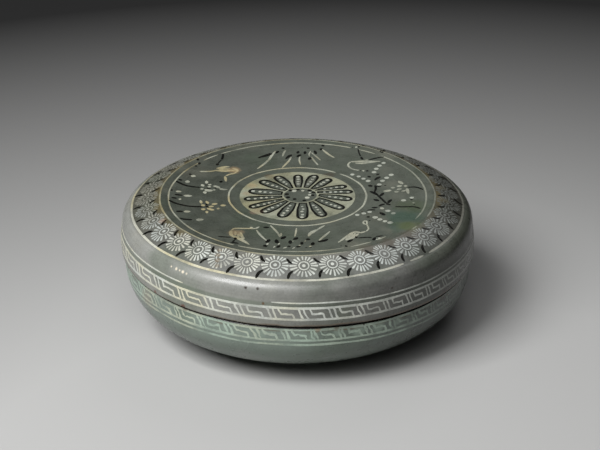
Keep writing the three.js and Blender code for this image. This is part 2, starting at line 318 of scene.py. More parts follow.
def lid_outline():
    """The lid from the middle of its ceiling, down and out to the rim, and over the top again."""
    side_top = side_radius(SIDE_TOP)
    edge_height = top_height(SHOULDER_EDGE)
    start = Vector((side_top, SIDE_TOP))
    bend = Vector((side_top, edge_height - SHOULDER_DROP * SHOULDER_FULLNESS))
    end = Vector((SHOULDER_EDGE, edge_height))
    shoulder = [start * (1 - t) ** 2 + bend * 2 * t * (1 - t) + end * t ** 2 for t in steps(0, 1, SIDE_STEPS)]
    ceiling = TOP_HEIGHT - LID_THICKNESS
    corner = ceiling - BAND_DROP
    inside = [
        (0, ceiling - FIELD_DISH),
        (FIELD_RADIUS, ceiling),
        (LID_INNER_RADIUS - LID_THICKNESS, corner),
        (LID_INNER_RADIUS, corner - LID_THICKNESS),
        (LID_INNER_RADIUS, RIM_HEIGHT + RIM_DEPTH),
    ]
    rim = [
        (LID_INNER_RADIUS, RIM_HEIGHT + RIM_DEPTH),
        (LID_INNER_RADIUS, RIM_HEIGHT),
        (BODY_RADIUS - EDGE_ROUNDING, RIM_HEIGHT),
        (side_radius(RIM_HEIGHT + RIM_BEVEL), RIM_HEIGHT + RIM_BEVEL),
    ]
    side = [(side_radius(z), z) for z in steps(RIM_HEIGHT + RIM_BEVEL, SIDE_TOP, SIDE_STEPS)]
    top = [(radius, top_height(radius)) for radius in steps(SHOULDER_EDGE, 0, TOP_STEPS)]
    outside = spaced([*rim, *side[1:], *shoulder[1:], *top[1:]], OUTLINE_STEP)
    inside = softened(spaced(inside, OUTLINE_STEP), LID_INSIDE_ROUNDING)
    return thinned([*inside[:-1], *softened(outside, LID_ROUNDING)])


def box_outline():
    """The box from the middle of its underside round foot, bowl, ledge and lip to its floor."""
    foot_edge = bowl_radius(FOOT_HEIGHT) - FOOT_TAPER
    recess_edge = foot_edge - FOOT_WIDTH
    lip_top = BODY_HEIGHT + LIP_HEIGHT
    lip_inner = LIP_RADIUS - LIP_THICKNESS
    outside = [
        (0, FOOT_RECESS),
        (recess_edge - FOOT_TAPER, FOOT_RECESS),
        (recess_edge, 0),
        (foot_edge, 0),
        *[(bowl_radius(z), z) for z in steps(FOOT_HEIGHT, BODY_HEIGHT - EDGE_BEVEL, BOWL_STEPS)],
        (BODY_RADIUS - EDGE_ROUNDING, BODY_HEIGHT),
        (LIP_RADIUS, BODY_HEIGHT),
        (LIP_RADIUS, lip_top),
        (lip_inner, lip_top),
        (lip_inner, BODY_HEIGHT),
    ]
    inside = [(hollow_radius(z), z) for z in steps(BODY_HEIGHT, FLOOR_HEIGHT, BOWL_STEPS)]
    inside = softened(spaced([*inside, (0, FLOOR_HEIGHT)], OUTLINE_STEP), BOX_INSIDE_ROUNDING)
    return thinned([*softened(spaced(outside, OUTLINE_STEP), BOX_ROUNDING)[:-1], *inside])


# Meshes

def as_object(name, bm):
    """A new object in the scene from a mesh in the making, its faces turned outwards."""
    bmesh.ops.recalc_face_normals(bm, faces=bm.faces)
    mesh = bpy.data.meshes.new(name)
    bm.to_mesh(mesh)
    bm.free()
    piece = bpy.data.objects.new(name, mesh)
    bpy.context.scene.collection.objects.link(piece)
    return piece


def turned(name, outline):
    """A closed turned piece from an outline in millimetres that starts and ends on the axis."""
    bm = bmesh.new()
    angles = [2 * math.pi * i / TURNED_SEGMENTS for i in range(TURNED_SEGMENTS)]
    rings = []
    for radius, z in outline[1:-1]:
        rings.append([
            bm.verts.new((radius * math.sin(a) * MM, -radius * math.cos(a) * MM, (z + warp(a, z)) * MM))
            for a in angles
        ])
    for low, high in zip(rings, rings[1:]):
        for i in range(TURNED_SEGMENTS):
            j = (i + 1) % TURNED_SEGMENTS
            bm.faces.new((low[i], low[j], high[j], high[i]))
    for ring, (_, z) in ((rings[0], outline[0]), (rings[-1], outline[-1])):
        pole = bm.verts.new((0, 0, z * MM))
        for i in range(TURNED_SEGMENTS):
            bm.faces.new((pole, ring[i], ring[(i + 1) % TURNED_SEGMENTS]))
    return as_object(name, bm)


def flow(points, step):
    """Points at about even steps along a smooth line through the given ones."""
    points = [Vector(p) for p in points]
    chain = [2 * points[0] - points[1], *points, 2 * points[-1] - points[-2]]
    out = []
    for a, b, c, d in zip(chain, chain[1:], chain[2:], chain[3:]):
        count = max(1, round((c - b).length / step))
        for i in range(count):
            t = i / count
            out.append(0.5 * (
                2 * b + (c - a) * t + (2 * a - 5 * b + 4 * c - d) * t ** 2
                + (3 * b - a - 3 * c + d) * t ** 3
            ))
    return [*out, points[-1]]


def join_columns(bm, columns, closed):
    """Closes the skin of a long thin piece. A column is the row of its upper points at one place
    and the row of its lower points."""
    across = len(columns[0][0]) - 1
    links = list(zip(columns, columns[1:]))
    if closed:
        links.append((columns[-1], columns[0]))
    for (top, bottom), (next_top, next_bottom) in links:
        for j in range(across):
            bm.faces.new((top[j], next_top[j], next_top[j + 1], top[j + 1]))
            bm.faces.new((bottom[j + 1], next_bottom[j + 1], next_bottom[j], bottom[j]))
        for j in (0, across):
            bm.faces.new((top[j], bottom[j], next_bottom[j], next_top[j]))
    if not closed:
        for top, bottom in (columns[0], columns[-1]):
            for j in range(across):
                bm.faces.new((top[j], top[j + 1], bottom[j + 1], bottom[j]))


def add_strip(bm, line, widths, closed=False, across=1, lift=0.0):
    """A flat closed strip along a line, with a width at each of its points."""
    count = len(line)
    columns = []
    for i, (middle, width) in enumerate(zip(line, widths)):
        before = line[i - 1] if closed or i else line[0]
        after = line[(i + 1) % count] if closed or i < count - 1 else line[-1]
        along = (after - before).normalized()
        out = Vector((-along.y, along.x))
        places = [middle + out * width * (j / across - 0.5) for j in range(across + 1)]
        columns.append([
            [bm.verts.new((p.x * MM, p.y * MM, z * MM)) for p in places] for z in (PROUD + lift, -SUNK)
        ])
    join_columns(bm, columns, closed)


def add_stroke(bm, points, width, start, end, lift):
    """A gouge cut: widest near its middle, its two ends rounded. Start and end are shares of width."""
    line = flow(points, STROKE_STEP)
    lengths = [0.0]
    for a, b in zip(line, line[1:]):
        lengths.append(lengths[-1] + (b - a).length)
    total = lengths[-1]
    widths = []
    for length in lengths:
        t = length / total
        if t < STROKE_FULLEST:
            share = start + (1 - start) * t / STROKE_FULLEST
        else:
            share = 1 - (1 - end) * ((t - STROKE_FULLEST) / (1 - STROKE_FULLEST)) ** 1.5
        nearest = min(length, total - length)
        half = share * width / 2
        if nearest < half:
            share *= max(STROKE_END, math.sqrt(1 - ((half - nearest) / half) ** 2))
        widths.append(share * width)
    add_strip(bm, line, widths, lift=lift)


def add_plate(bm, outlines, lift=0.0):
    """A flat closed plate from its outline and the outlines of its openings."""
    loops = [[Vector((p[0], p[1], 0)) for p in loop] for loop in outlines]
    corners = [corner for loop in loops for corner in loop]
    top = [bm.verts.new((c.x * MM, c.y * MM, (PROUD + lift) * MM)) for c in corners]
    bottom = [bm.verts.new((c.x * MM, c.y * MM, -SUNK * MM)) for c in corners]
    for a, b, c in tessellate_polygon(loops):
        bm.faces.new((top[a], top[b], top[c]))
        bm.faces.new((bottom[c], bottom[b], bottom[a]))
    first = 0
    for loop in loops:
        for i in range(len(loop)):
            j = first + (i + 1) % len(loop)
            bm.faces.new((top[first + i], top[j], bottom[j], bottom[first + i]))
        first += len(loop)


def circle(radius, sides, x=0, y=0):
    turns = [2 * math.pi * i / sides for i in range(sides)]
    return [(x + radius * math.cos(t), y + radius * math.sin(t)) for t in turns]


# Node trees

class Nodes:
    """A node tree in the making. A value fed to a node is a plain one, or another node's output."""

    def __init__(self, tree):
        self.tree = tree

    def node(self, kind, inputs=None, **settings):
        made = self.tree.nodes.new(kind)
        for name, value in settings.items():
            setattr(made, name, value)
        for key, value in (inputs or {}).items():
            if isinstance(value, bpy.types.NodeSocket):
                self.tree.links.new(value, made.inputs[key])
            else:
                made.inputs[key].default_value = value
        return made

    def maths(self, operation, first, second=0.0):
        return self.node("ShaderNodeMath", {0: first, 1: second}, operation=operation).outputs[0]

    def plus(self, first, second):
        return self.maths("ADD", first, second)

    def minus(self, first, second):
        return self.maths("SUBTRACT", first, second)

    def times(self, first, *others):
        for other in others:
            first = self.maths("MULTIPLY", first, other)
        return first

    def vectors(self, operation, first, second):
        """A sum of two vectors, or the distance between them, as the operation says."""
        made = self.node("ShaderNodeVectorMath", {0: first, 1: second}, operation=operation)
        return made.outputs["Value" if operation == "DISTANCE" else "Vector"]

    def scaled(self, vector, scale):
        return self.node("ShaderNodeVectorMath", {0: vector, "Scale": scale}, operation="SCALE").outputs[0]

    def joined(self, x=0.0, y=0.0, z=0.0):
        return self.node("ShaderNodeCombineXYZ", {0: x, 1: y, 2: z}).outputs[0]

    def parted(self, vector):
        return self.node("ShaderNodeSeparateXYZ", {0: vector}).outputs

    def ramp(self, value, low, high, shape="SMOOTHSTEP"):
        """0 below low and 1 above high, with a smooth or a linear climb between them. With low above high
        it falls."""
        inputs = {0: value, 1: low, 2: high, 3: 0.0, 4: 1.0}
        return self.node("ShaderNodeMapRange", inputs, interpolation_type=shape).outputs[0]

    def mix(self, share, first, second):
        """Mixes two colours by a share of the second."""
        return self.node("ShaderNodeMix", {0: share, 6: first, 7: second}, data_type="RGBA").outputs[2]


class Shaping(Nodes):
    """A geometry tree in the making, with its named inputs in given."""

    def __init__(self, name, sockets):
        super().__init__(bpy.data.node_groups.new(name, "GeometryNodeTree"))
        for label, kind in {"Geometry": "Geometry", **sockets}.items():
            self.tree.interface.new_socket(label, in_out="INPUT", socket_type="NodeSocket" + kind)
        self.tree.interface.new_socket("Geometry", in_out="OUTPUT", socket_type="NodeSocketGeometry")
        self.given = self.node("NodeGroupInput").outputs

    def jittered(self, name, seed_offset):
        """A random number from minus to plus an input, one for each copy."""
        amount = self.given[name]
        made = self.node("FunctionNodeRandomValue", data_type="FLOAT")
        sockets = {socket.identifier: socket for socket in made.inputs}
        for label, value in (
            ("Min_001", self.times(amount, -1.0)),
            ("Max_001", amount),
            ("Seed", self.plus(self.given["Seed"], float(seed_offset))),
        ):
            self.tree.links.new(value, sockets[label])
        return next(socket for socket in made.outputs if socket.identifier == "Value_001")

    def ended(self, geometry):
        """Ends the tree: its copies become plain mesh with their material."""
        real = self.node("GeometryNodeRealizeInstances", {0: geometry}).outputs[0]
        painted = self.node("GeometryNodeSetMaterial", {"Geometry": real, "Material": self.given["Finish"]})
        self.node("NodeGroupOutput", {0: painted.outputs[0]})
        return self.tree


def copies_tree(name, in_ring):
    """Copies of what comes in, in a ring round the axis or in a row along X, each a little different."""
    course = {"Radius": "Float", "First Turn": "Float"} if in_ring else {"Pitch": "Float"}
    made = Shaping(name, {
        "Copies": "Int", **course, "Turn Jitter": "Float", "Size Jitter": "Float", "Place Jitter": "Float",
        "Seed": "Int", "Finish": "Material",
    })
    given = made.given
    index = made.node("GeometryNodeInputIndex").outputs[0]
    facing = made.jittered("Turn Jitter", 1)
    x = made.jittered("Place Jitter", 2)
    y = made.jittered("Place Jitter", 3)
    size = made.plus(made.jittered("Size Jitter", 4), 1.0)
    if in_ring:
        points = made.node("GeometryNodeMeshCircle", {"Vertices": given["Copies"], "Radius": given["Radius"]})
        share = made.maths("DIVIDE", index, given["Copies"])
        turn = made.plus(made.times(share, 2 * math.pi), given["First Turn"])
        out = made.plus(given["Radius"], y)
        x = made.times(made.maths("SINE", turn), out)
        y = made.times(made.maths("COSINE", turn), out, -1.0)
        facing = made.plus(turn, facing)
    else:
        points = made.node("GeometryNodeMeshLine", {"Count": given["Copies"]})
        x = made.plus(made.times(index, given["Pitch"]), x)
    places = made.node("GeometryNodeSetPosition", {
        "Geometry": points.outputs[0], "Position": made.joined(x, y),
    })
    rotation = made.node("FunctionNodeEulerToRotation", {0: made.joined(z=facing)})
    copies = made.node("GeometryNodeInstanceOnPoints", {
        "Points": places.outputs[0], "Instance": given["Geometry"], "Rotation": rotation.outputs[0],
        "Scale": made.joined(size, size, 1.0),
    })
    return made.ended(copies.outputs[0])


def dots_tree():
    """A round plate on every point of what comes in, each a little different in size."""
    made = Shaping("dots_on_points", {
        "Dot": "Object", "Size Jitter": "Float", "Seed": "Int", "Finish": "Material",
    })
    given = made.given
    dot = made.node("GeometryNodeObjectInfo", {"Object": given["Dot"]})
    share = made.plus(made.jittered("Size Jitter", 0), 1.0)
    radius = made.node("GeometryNodeInputNamedAttribute", {"Name": "dot_radius"}, data_type="FLOAT")
    width = made.times(share, radius.outputs[0])
    copies = made.node("GeometryNodeInstanceOnPoints", {
        "Points": given["Geometry"], "Instance": dot.outputs["Geometry"],
        "Scale": made.joined(width, width, 1.0),
    })
    return made.ended(copies.outputs[0])


def draped_tree(name, round_side):
    """Lays flat plates on a surface: down on to a lid's top, or bent round a side from a flat drawing.

    A point keeps its height above the drawing as its height above the surface. Round a side, the
    drawing is unsteady as a hand is, by its Wobble, follows the tilt of the bands, and is turned and
    drawn together in places, by angles."""
    sockets = {"Surface": "Object", "Reach": "Float", "Finish": "Material"}
    if round_side:
        sockets |= {
            "Drawn Radius": "Float", "Wobble": "Float", "Rise": "Float", "Tilt": "Float",
            "Turned": "Float", "Crowded Right": "Float", "Crowded Front": "Float",
        }
    made = Shaping(name, sockets)
    given = made.given
    surface = made.node("GeometryNodeObjectInfo", {"Object": given["Surface"]}, transform_space="RELATIVE")
    x, y, above = made.parted(made.node("GeometryNodeInputPosition").outputs[0])
    if round_side:
        unsteady = made.node("ShaderNodeTexNoise", {
            "Vector": made.joined(x, y), "Scale": HAND_SCALE, "Detail": 1.0,
        })
        x, y = [
            made.plus(drawn, made.times(made.minus(swing, 0.5), given["Wobble"]))
            for drawn, swing in zip((x, y), made.parted(unsteady.outputs["Color"]))
        ]
        even = made.maths("DIVIDE", x, given["Drawn Radius"])
        right = made.times(made.maths("SINE", even), given["Crowded Right"])
        front = made.times(made.minus(1.0, made.maths("COSINE", even)), given["Crowded Front"])
        angle = made.minus(made.plus(even, given["Turned"]), made.plus(right, front))
        sine = made.maths("SINE", angle)
        level = made.plus(y, made.minus(given["Rise"], made.times(sine, given["Tilt"])))
        outwards = made.joined(sine, made.times(made.maths("COSINE", angle), -1.0))
        start = made.vectors("ADD", made.scaled(outwards, given["Reach"]), made.joined(z=level))
    else:
        outwards = made.joined(z=1.0)
        start = made.joined(x, y, given["Reach"])
    ray = made.node("GeometryNodeRaycast", {
        "Target Geometry": surface.outputs["Geometry"], "Source Position": start,
        "Ray Direction": made.scaled(outwards, -1.0), "Ray Length": given["Reach"],
    })
    laid = made.vectors("ADD", ray.outputs["Hit Position"], made.scaled(outwards, above))
    moved = made.node("GeometryNodeSetPosition", {"Geometry": given["Geometry"], "Position": laid})
    return made.ended(moved.outputs[0])


def grown(piece, *stages):
    """Runs one tree after another on a piece and keeps the result as its plain mesh."""
    for tree, settings in stages:
        modifier = piece.modifiers.new(tree.name, "NODES")
        modifier.node_group = tree
        for item in tree.interface.items_tree:
            if item.in_out == "INPUT" and item.name in settings:
                modifier[item.identifier] = settings[item.name]
    evaluated = piece.evaluated_get(bpy.context.evaluated_depsgraph_get())
    mesh = bpy.data.meshes.new_from_object(evaluated)
    piece.modifiers.clear()
    drawing = piece.data
    piece.data = mesh
    bpy.data.meshes.remove(drawing)
    mesh.name = piece.name
    return piece


def drawing(name, *parts):
    """A flat drawing as one mesh. Each part is a function and what it draws with."""
    bm = bmesh.new()
    for draw, *given in parts:
        draw(bm, *given)
    return as_object(name, bm)


def add_strokes(bm, strokes, spread, lift=0.0):
    """Strokes are a width, the points that they pass through and the shares for their ends."""
    for width, points, start, end in strokes:
        add_stroke(bm, points, width * spread, start, end, lift)


def hand_cut(width, wander, seed, unevenness=LINE_UNEVENNESS):
    """Turn, drift from the true line and width, at each point of a line cut by hand round the wheel."""
    waves = random.Random(seed)
    phases = [waves.uniform(0, 2 * math.pi) for _ in range(6)]
    for i in range(RING_POINTS):
        turn = 2 * math.pi * i / RING_POINTS
        swing = sum(math.sin(k * turn + phase) for k, phase in zip(COURSE_WAVES, phases)) / 3
        swell = sum(math.sin(k * turn + phase) for k, phase in zip(WIDTH_WAVES, phases[3:])) / 3
        yield turn, wander * swing, width * (1 + unevenness * swell)


def missing_in(turn, breaks):
    """Whether a turn lies in one of a line's breaks: places in degrees and half lengths."""
    return any(abs((math.degrees(turn) - place + 180) % 360 - 180) < half for place, half in breaks)


def runs_of(cuts, breaks):
    """The unbroken runs of a line, as lists of its points' numbers, or none where it has no break."""
    missing = [missing_in(turn, breaks) for turn, _, _ in cuts]
    if not any(missing):
        return []
    first = missing.index(True)
    runs, run = [], []
    for step in range(1, RING_POINTS + 1):
        i = (first + step) % RING_POINTS
        if not missing[i]:
            run.append(i)
        elif len(run) > 1:
            runs.append(run)
            run = []
    return runs


def tapered(widths, run):
    """The widths along a run, drawn in at its two ends."""
    last = len(run) - 1
    return [widths[j] * min(1, RUN_END + RUN_GAINS * min(k, last - k)) for k, j in enumerate(run)]


def add_ring(bm, radius, width, wander, seed, breaks=()):
    """A line round the lid's top. Breaks are places, in degrees, and half lengths where it is missing."""
    cuts = list(hand_cut(width, wander, seed))
    line = [Vector((math.sin(turn), -math.cos(turn))) * (radius + drift) for turn, drift, _ in cuts]
    widths = [w for _, _, w in cuts]
    runs = runs_of(cuts, breaks)
    if not runs:
        add_strip(bm, line, widths, closed=True, across=RING_ROWS)
    for run in runs:
        add_strip(bm, [line[j] for j in run], tapered(widths, run), across=RING_ROWS)


def add_wall_line(bm, wall_radius, height, width, wander, seed, breaks, unevenness, lean=0):
    """A line round an upright wall, which may have breaks and may lean to the left."""
    cuts = [
        (turn, drift - lean * math.sin(turn), wide)
        for turn, drift, wide in hand_cut(width, wander, seed, unevenness)
    ]

    def column(turn, drift, wide):
        heights = [height + drift + wide * (j / RING_ROWS - 0.5) for j in range(RING_ROWS + 1)]
        return [
            [
                bm.verts.new((
                    (wall_radius(z) + lift) * math.sin(turn) * MM,
                    -(wall_radius(z) + lift) * math.cos(turn) * MM,
                    (z + warp(turn, z)) * MM,
                ))
                for z in heights
            ]
            for lift in (PROUD, -SUNK)
        ]

    runs = runs_of(cuts, breaks)
    if not runs:
        join_columns(bm, [column(*cut) for cut in cuts], closed=True)
    widths = [wide for _, _, wide in cuts]
    for run in runs:
        columns = [column(*cuts[j][:2], wide) for j, wide in zip(run, tapered(widths, run))]
        join_columns(bm, columns, closed=False)


# Hand-cut figures on the field, seen from above. A stroke is a width, the points that it passes through,
# and the shares of its width at its start and end.

FRONT_LEFT_CRANE = [
    (1.1, [(-33.4, -42.0), (-32.4, -39.8), (-30.5, -39.3), (-26, -39.4), (-20.6, -39.4)], 0.8, 0.8),
    (1.0, [(-21.2, -39.6), (-20.4, -38.4), (-19.4, -37.2)], 0.8, 0.9),
    (1.5, [(-24.2, -38.5), (-22.6, -37.9)], 0.9, 0.8),
    (1.7, [(-33.5, -42.2), (-33.6, -45.5), (-33, -49)], 0.8, 0.9),
    (1.1, [(-31.4, -43.2), (-31.2, -48)], 0.7, 0.8),
    (1.5, [(-28.8, -44.2), (-28.2, -48), (-27, -52.5)], 0.6, 0.9),
    (2.1, [(-33, -48.4), (-30.6, -50.6), (-28, -53.4), (-25.8, -56.4), (-24, -59)], 0.8, 0.3),
    (1.3, [(-29.8, -46), (-29.6, -50)], 0.7, 0.9),
]
FRONT_LEFT_CRANE_BLACK = [
    (1.0, [(-17.4, -38.0), (-14.4, -38.1)], 0.9, 0.8),
    (1.0, [(-31.3, -50.6), (-31.1, -53.4)], 0.9, 0.7),
    (0.7, [(-33.3, -50.4), (-36.5, -50.2), (-40, -49.6)], 0.6, 1.0),
    (0.7, [(-31.6, -53.6), (-32.4, -56.3)], 0.7, 0.7),
    (0.8, [(-33.6, -56.5), (-31.6, -57.0), (-29.4, -57.8)], 0.6, 1.0),
]
FRONT_RIGHT_CRANE = [
    (0.9, [
        (35.1, -35.3), (34.0, -34.6), (33.4, -32.8), (34.2, -31.0), (35.2, -31.2), (35.3, -33.5),
        (35.2, -35.6),
    ], 0.8, 0.8),
    (0.8, [(35.2, -35.4), (35.7, -38.0), (35.9, -40.5), (35.2, -42.8), (34.6, -43.8)], 0.8, 1.0),
    (1.3, [(34.4, -43.8), (32.8, -44.8), (31.2, -45.6)], 0.8, 1.0),
    (1.6, [
        (31.8, -45.2), (29.6, -44.3), (27.8, -45.0), (25.6, -48.2), (23.2, -52.0), (20.2, -56.8),
    ], 0.8, 0.4),
    (1.3, [(30.6, -46.2), (29.4, -48.6), (27.6, -51.6), (24, -54.3)], 0.9, 0.4),
    (1.2, [(29.2, -45.6), (28.2, -48.0), (26.4, -51.0), (23.8, -53.8)], 0.8, 0.5),
    (1.1, [(27.8, -46.4), (26.4, -49.6), (24.2, -52.8)], 0.7, 0.6),
]
FRONT_RIGHT_CRANE_BLACK = [
    (0.8, [(34.6, -32.8), (34.7, -33.9)], 0.9, 0.9),
    (1.2, [(36.4, -30.6), (37.2, -30.6)], 0.9, 0.9),
    (0.9, [(29.4, -49.6), (29.4, -51.8)], 0.9, 0.8),
    (0.7, [(30.2, -51.7), (33.4, -51.2), (37.2, -51.4)], 0.8, 0.8),
    (1.1, [(27.6, -53.2), (26.2, -54.8), (25.0, -56.6)], 0.7, 0.9),
    (1.1, [(38.9, -51.2), (38.5, -53.0), (37.8, -55.0)], 0.5, 1.0),
    (0.6, [(39.2, -50.5), (43, -49.6)], 0.9, 0.5),
    (0.9, [(21.7, -60.4), (21.4, -61.3)], 0.9, 0.8),
    (0.8, [(23.8, -60.4), (24.4, -62.4)], 0.7, 0.9),
]
TOP_RIGHT_CRANE = [
    (1.9, [(28.6, 43.0), (33, 43.3), (38, 43.2), (42, 42.8), (45.4, 42.8)], 0.5, 0.4),
    (1.7, [(31.4, 41.4), (35, 40.8), (39, 41.6), (42.6, 42.2)], 0.5, 0.5),
    (1.2, [(37, 43.6), (38.2, 45.6)], 0.9, 0.6),
    (1.0, [(29.4, 43.4), (28.2, 41.6), (27.5, 39.0), (28.4, 35.6), (30.6, 33.2), (33.4, 32.0)], 0.9, 0.9),
    (1.3, [(35.4, 32.2), (35.7, 30.6)], 0.8, 0.8),
]
TOP_RIGHT_CRANE_BLACK = [
    (0.9, [(33.8, 32.2), (34.0, 31.4)], 0.9, 0.9),
    (1.2, [(37.0, 31.4), (38.2, 30.8)], 0.9, 0.8),
    (0.5, [(33.4, 59.0), (34.0, 53.0), (34.6, 49.6)], 0.8, 0.8),
    (0.9, [(34.8, 49.0), (35.6, 45.4)], 0.7, 0.9),
    (0.8, [(39.0, 45.0), (42.2, 46.5), (45, 47.6), (47.4, 48.2)], 0.7, 0.7),
    (0.9, [(30.6, 61.4), (30.5, 60.6)], 0.9, 0.9),
    (0.9, [(34.0, 62.4), (33.9, 61.0)], 0.9, 0.9),
    (1.1, [(45.8, 56.8), (46.2, 55.0), (46.8, 53.2)], 0.5, 0.9),
]
TOP_LEFT_CRANE = [
    (1.2, [(-52.6, 30.4), (-48.6, 30.5), (-45.4, 31.2), (-43.4, 32.6)], 0.9, 0.9),
    (2.1, [(-44.4, 32.2), (-41.8, 31.8), (-38.6, 31.6), (-35.6, 32.4), (-33.2, 31.6)], 0.7, 0.6),
    (2.2, [(-43.8, 34.4), (-41.2, 35.4), (-38.6, 36.8), (-36.6, 36.8)], 0.6, 0.5),
    (1.6, [(-42.4, 33.6), (-39.6, 34.0), (-36.4, 34.4)], 0.8, 0.7),
    (1.5, [(-35.2, 34.8), (-33.6, 34.2), (-32.4, 32.4), (-32.8, 30.2)], 0.8, 0.7),
    (1.0, [(-32.8, 30.4), (-33.8, 28.8), (-36.4, 27.4), (-38.4, 25.4)], 0.9, 0.9),
    (1.5, [(-38.8, 25.0), (-38.4, 21.6), (-38.0, 18.2)], 0.4, 0.4),
]
TOP_LEFT_CRANE_BLACK = [
    (1.2, [(-40.5, 19.0), (-40.9, 16.8)], 0.9, 0.8),
    (0.8, [(-40.8, 53.4), (-40.7, 50), (-41.2, 45.8)], 0.8, 0.9),
    (0.5, [(-41.4, 45.4), (-43.0, 41.2)], 0.8, 0.9),
    (1.1, [(-43.1, 41.0), (-43.5, 38.4)], 0.8, 0.9),
    (0.9, [(-54.4, 46.6), (-54.0, 43.8)], 0.7, 0.9),
    (1.0, [(-53.0, 41.6), (-53.3, 39.0)], 0.9, 0.7),
    (1.1, [(-54.9, 37.6), (-54.8, 36.2)], 0.9, 0.9),
]
FRONT_REEDS = [
    (1.1, [(-20.8, -41.2), (-19.6, -45), (-18, -49), (-15.4, -54.2)], 0.5, 0.6),
    (1.0, [(-13.8, -35.6), (-11.2, -41.6), (-9.8, -45.6), (-8.8, -49.4)], 0.7, 0.8),
    (1.1, [(-8.2, -44.8), (-8.6, -48.8)], 0.5, 0.8),
    (0.9, [(-0.6, -38.8), (-0.8, -43), (-1.4, -49.2)], 0.5, 0.6),
    (1.2, [(13.8, -35.8), (11.4, -39.0), (10, -41)], 0.5, 0.9),
    (2.0, [(10.4, -40.4), (7.8, -43.4), (6.2, -46), (5.6, -49)], 0.6, 0.5),
    (1.3, [(16.4, -43.0), (13.9, -47.8), (12.2, -51), (10.8, -54)], 0.4, 0.7),
    (1.0, [(-14.8, -56.8), (-15.3, -59.4)], 0.8, 0.6),
    (0.8, [(-9.0, -56.8), (-9.7, -59.2)], 0.8, 0.6),
    (1.0, [(-2.0, -54.2), (-2.5, -55.0)], 0.8, 0.8),
    (1.1, [(-5.4, -61.9), (-7.2, -63.4)], 0.7, 0.6),
    (1.1, [(1.4, -59.2), (0.6, -60.2)], 0.8, 0.8),
    (1.3, [(5.6, -61.0), (7.0, -61.0)], 0.8, 0.8),
    (0.9, [(-1.4, -62.2), (-2.6, -63.8)], 0.8, 0.6),
    (0.7, [(4.0, -53.6), (3.6, -55.4)], 0.6, 0.6),
    (0.8, [(-11.2, -60.6), (-12, -62.6)], 0.6, 0.6),
]
FRONT_REEDS_BLACK = [
    (1.2, [(-14.0, -52.4), (-14.8, -54.6), (-15.8, -56.6)], 0.6, 0.8),
    (1.3, [(-6.0, -48.6), (-7.2, -50.6), (-8.2, -52.2)], 0.5, 0.9),
    (1.3, [(-10.7, -52.4), (-10.5, -55), (-9.9, -57.2)], 0.4, 0.9),
    (1.2, [(0.0, -50.0), (-1.0, -51.8), (-2.2, -52.8)], 0.6, 0.9),
    (1.2, [(-3.7, -53.6), (-3.7, -57.8)], 0.5, 0.8),
    (1.5, [(5.6, -51.4), (4.8, -53.4)], 0.8, 0.9),
    (1.0, [(2.2, -55.4), (2.0, -59.0)], 0.6, 0.7),
    (1.2, [(7.8, -56), (7.3, -59.8)], 0.5, 0.9),
    (1.3, [(15.2, -52.4), (13.4, -54.2), (10.2, -55.6)], 0.6, 0.9),
    (1.4, [(-16.6, -59.2), (-15.6, -61.6)], 0.7, 0.9),
    (1.1, [(-9.0, -59.6), (-9.7, -61.6), (-10.4, -62.6)], 0.7, 0.8),
    (1.1, [(-5.2, -61.1), (-3.4, -60.8)], 0.8, 0.7),
    (1.1, [(-0.7, -62.0), (0.3, -61.3), (1.5, -61.2)], 0.8, 0.7),
    (1.1, [(3.8, -62.8), (4.8, -62.4)], 0.8, 0.7),
    (1.2, [(6.2, -62.6), (6.9, -62.4)], 0.8, 0.9),
]
TOP_REEDS = [
    (1.3, [(-12.0, 57.4), (-14.2, 51), (-15.6, 45.6)], 0.5, 1.0),
    (1.3, [(-15.4, 46.6), (-17.8, 41.4), (-21.6, 34.6)], 0.9, 0.5),
    (1.1, [(-6.4, 58.6), (-7.4, 55), (-8.1, 50.8)], 0.7, 0.6),
    (1.1, [(-3.4, 49.8), (-4.4, 45.6), (-5.8, 41.8), (-8.2, 36.2)], 0.6, 0.7),
    (0.9, [(1.4, 50.4), (1.1, 45.6), (1.8, 39.6)], 0.7, 0.5),
    (0.9, [(7.8, 50), (9.0, 45.6), (11.2, 39.4)], 0.6, 0.8),
    (0.9, [(7.8, 55.4), (9.8, 51.4), (12.7, 45.6)], 0.6, 0.6),
    (0.7, [(7.4, 57.4), (6.4, 53.0), (6.8, 50.6)], 0.5, 0.5),
    (1.3, [(13.8, 59.4), (16, 55), (18, 51.6), (20.3, 48.6)], 0.5, 0.5),
]
TOP_REEDS_BLACK = [
    (1.5, [(-8.6, 60.8), (-7.0, 61.4)], 0.8, 0.8),
    (1.5, [(-14.0, 54.4), (-17.0, 51.8), (-21.6, 48.6)], 0.8, 0.3),
    (1.0, [(-10.4, 57.6), (-11.2, 55.6), (-11.8, 54.4)], 0.8, 0.5),
    (1.2, [(-3.0, 52.9), (-4.6, 50.8), (-6.4, 47.4)], 0.8, 0.4),
    (1.0, [(0.7, 57.4), (0.0, 54.2)], 0.7, 0.7),
    (1.1, [(2.2, 52.9), (1.0, 51.8), (-0.2, 50.0)], 0.7, 0.8),
    (1.0, [(4.3, 57.2), (4.1, 53.6)], 0.6, 0.7),
    (1.3, [(5.4, 60.4), (6.6, 61.6)], 0.8, 0.8),
    (1.0, [(9.5, 58.0), (10.3, 53.4)], 0.7, 0.7),
    (1.2, [(7.2, 49.4), (6.4, 46.2)], 0.9, 0.8),
    (1.0, [(13.4, 60.8), (12.8, 58.2)], 0.8, 0.7),
    (1.1, [(13.9, 65.2), (14.5, 63.0)], 0.8, 0.6),
    (0.8, [(2.4, 62.6), (3.0, 62.0)], 0.8, 0.8),
]
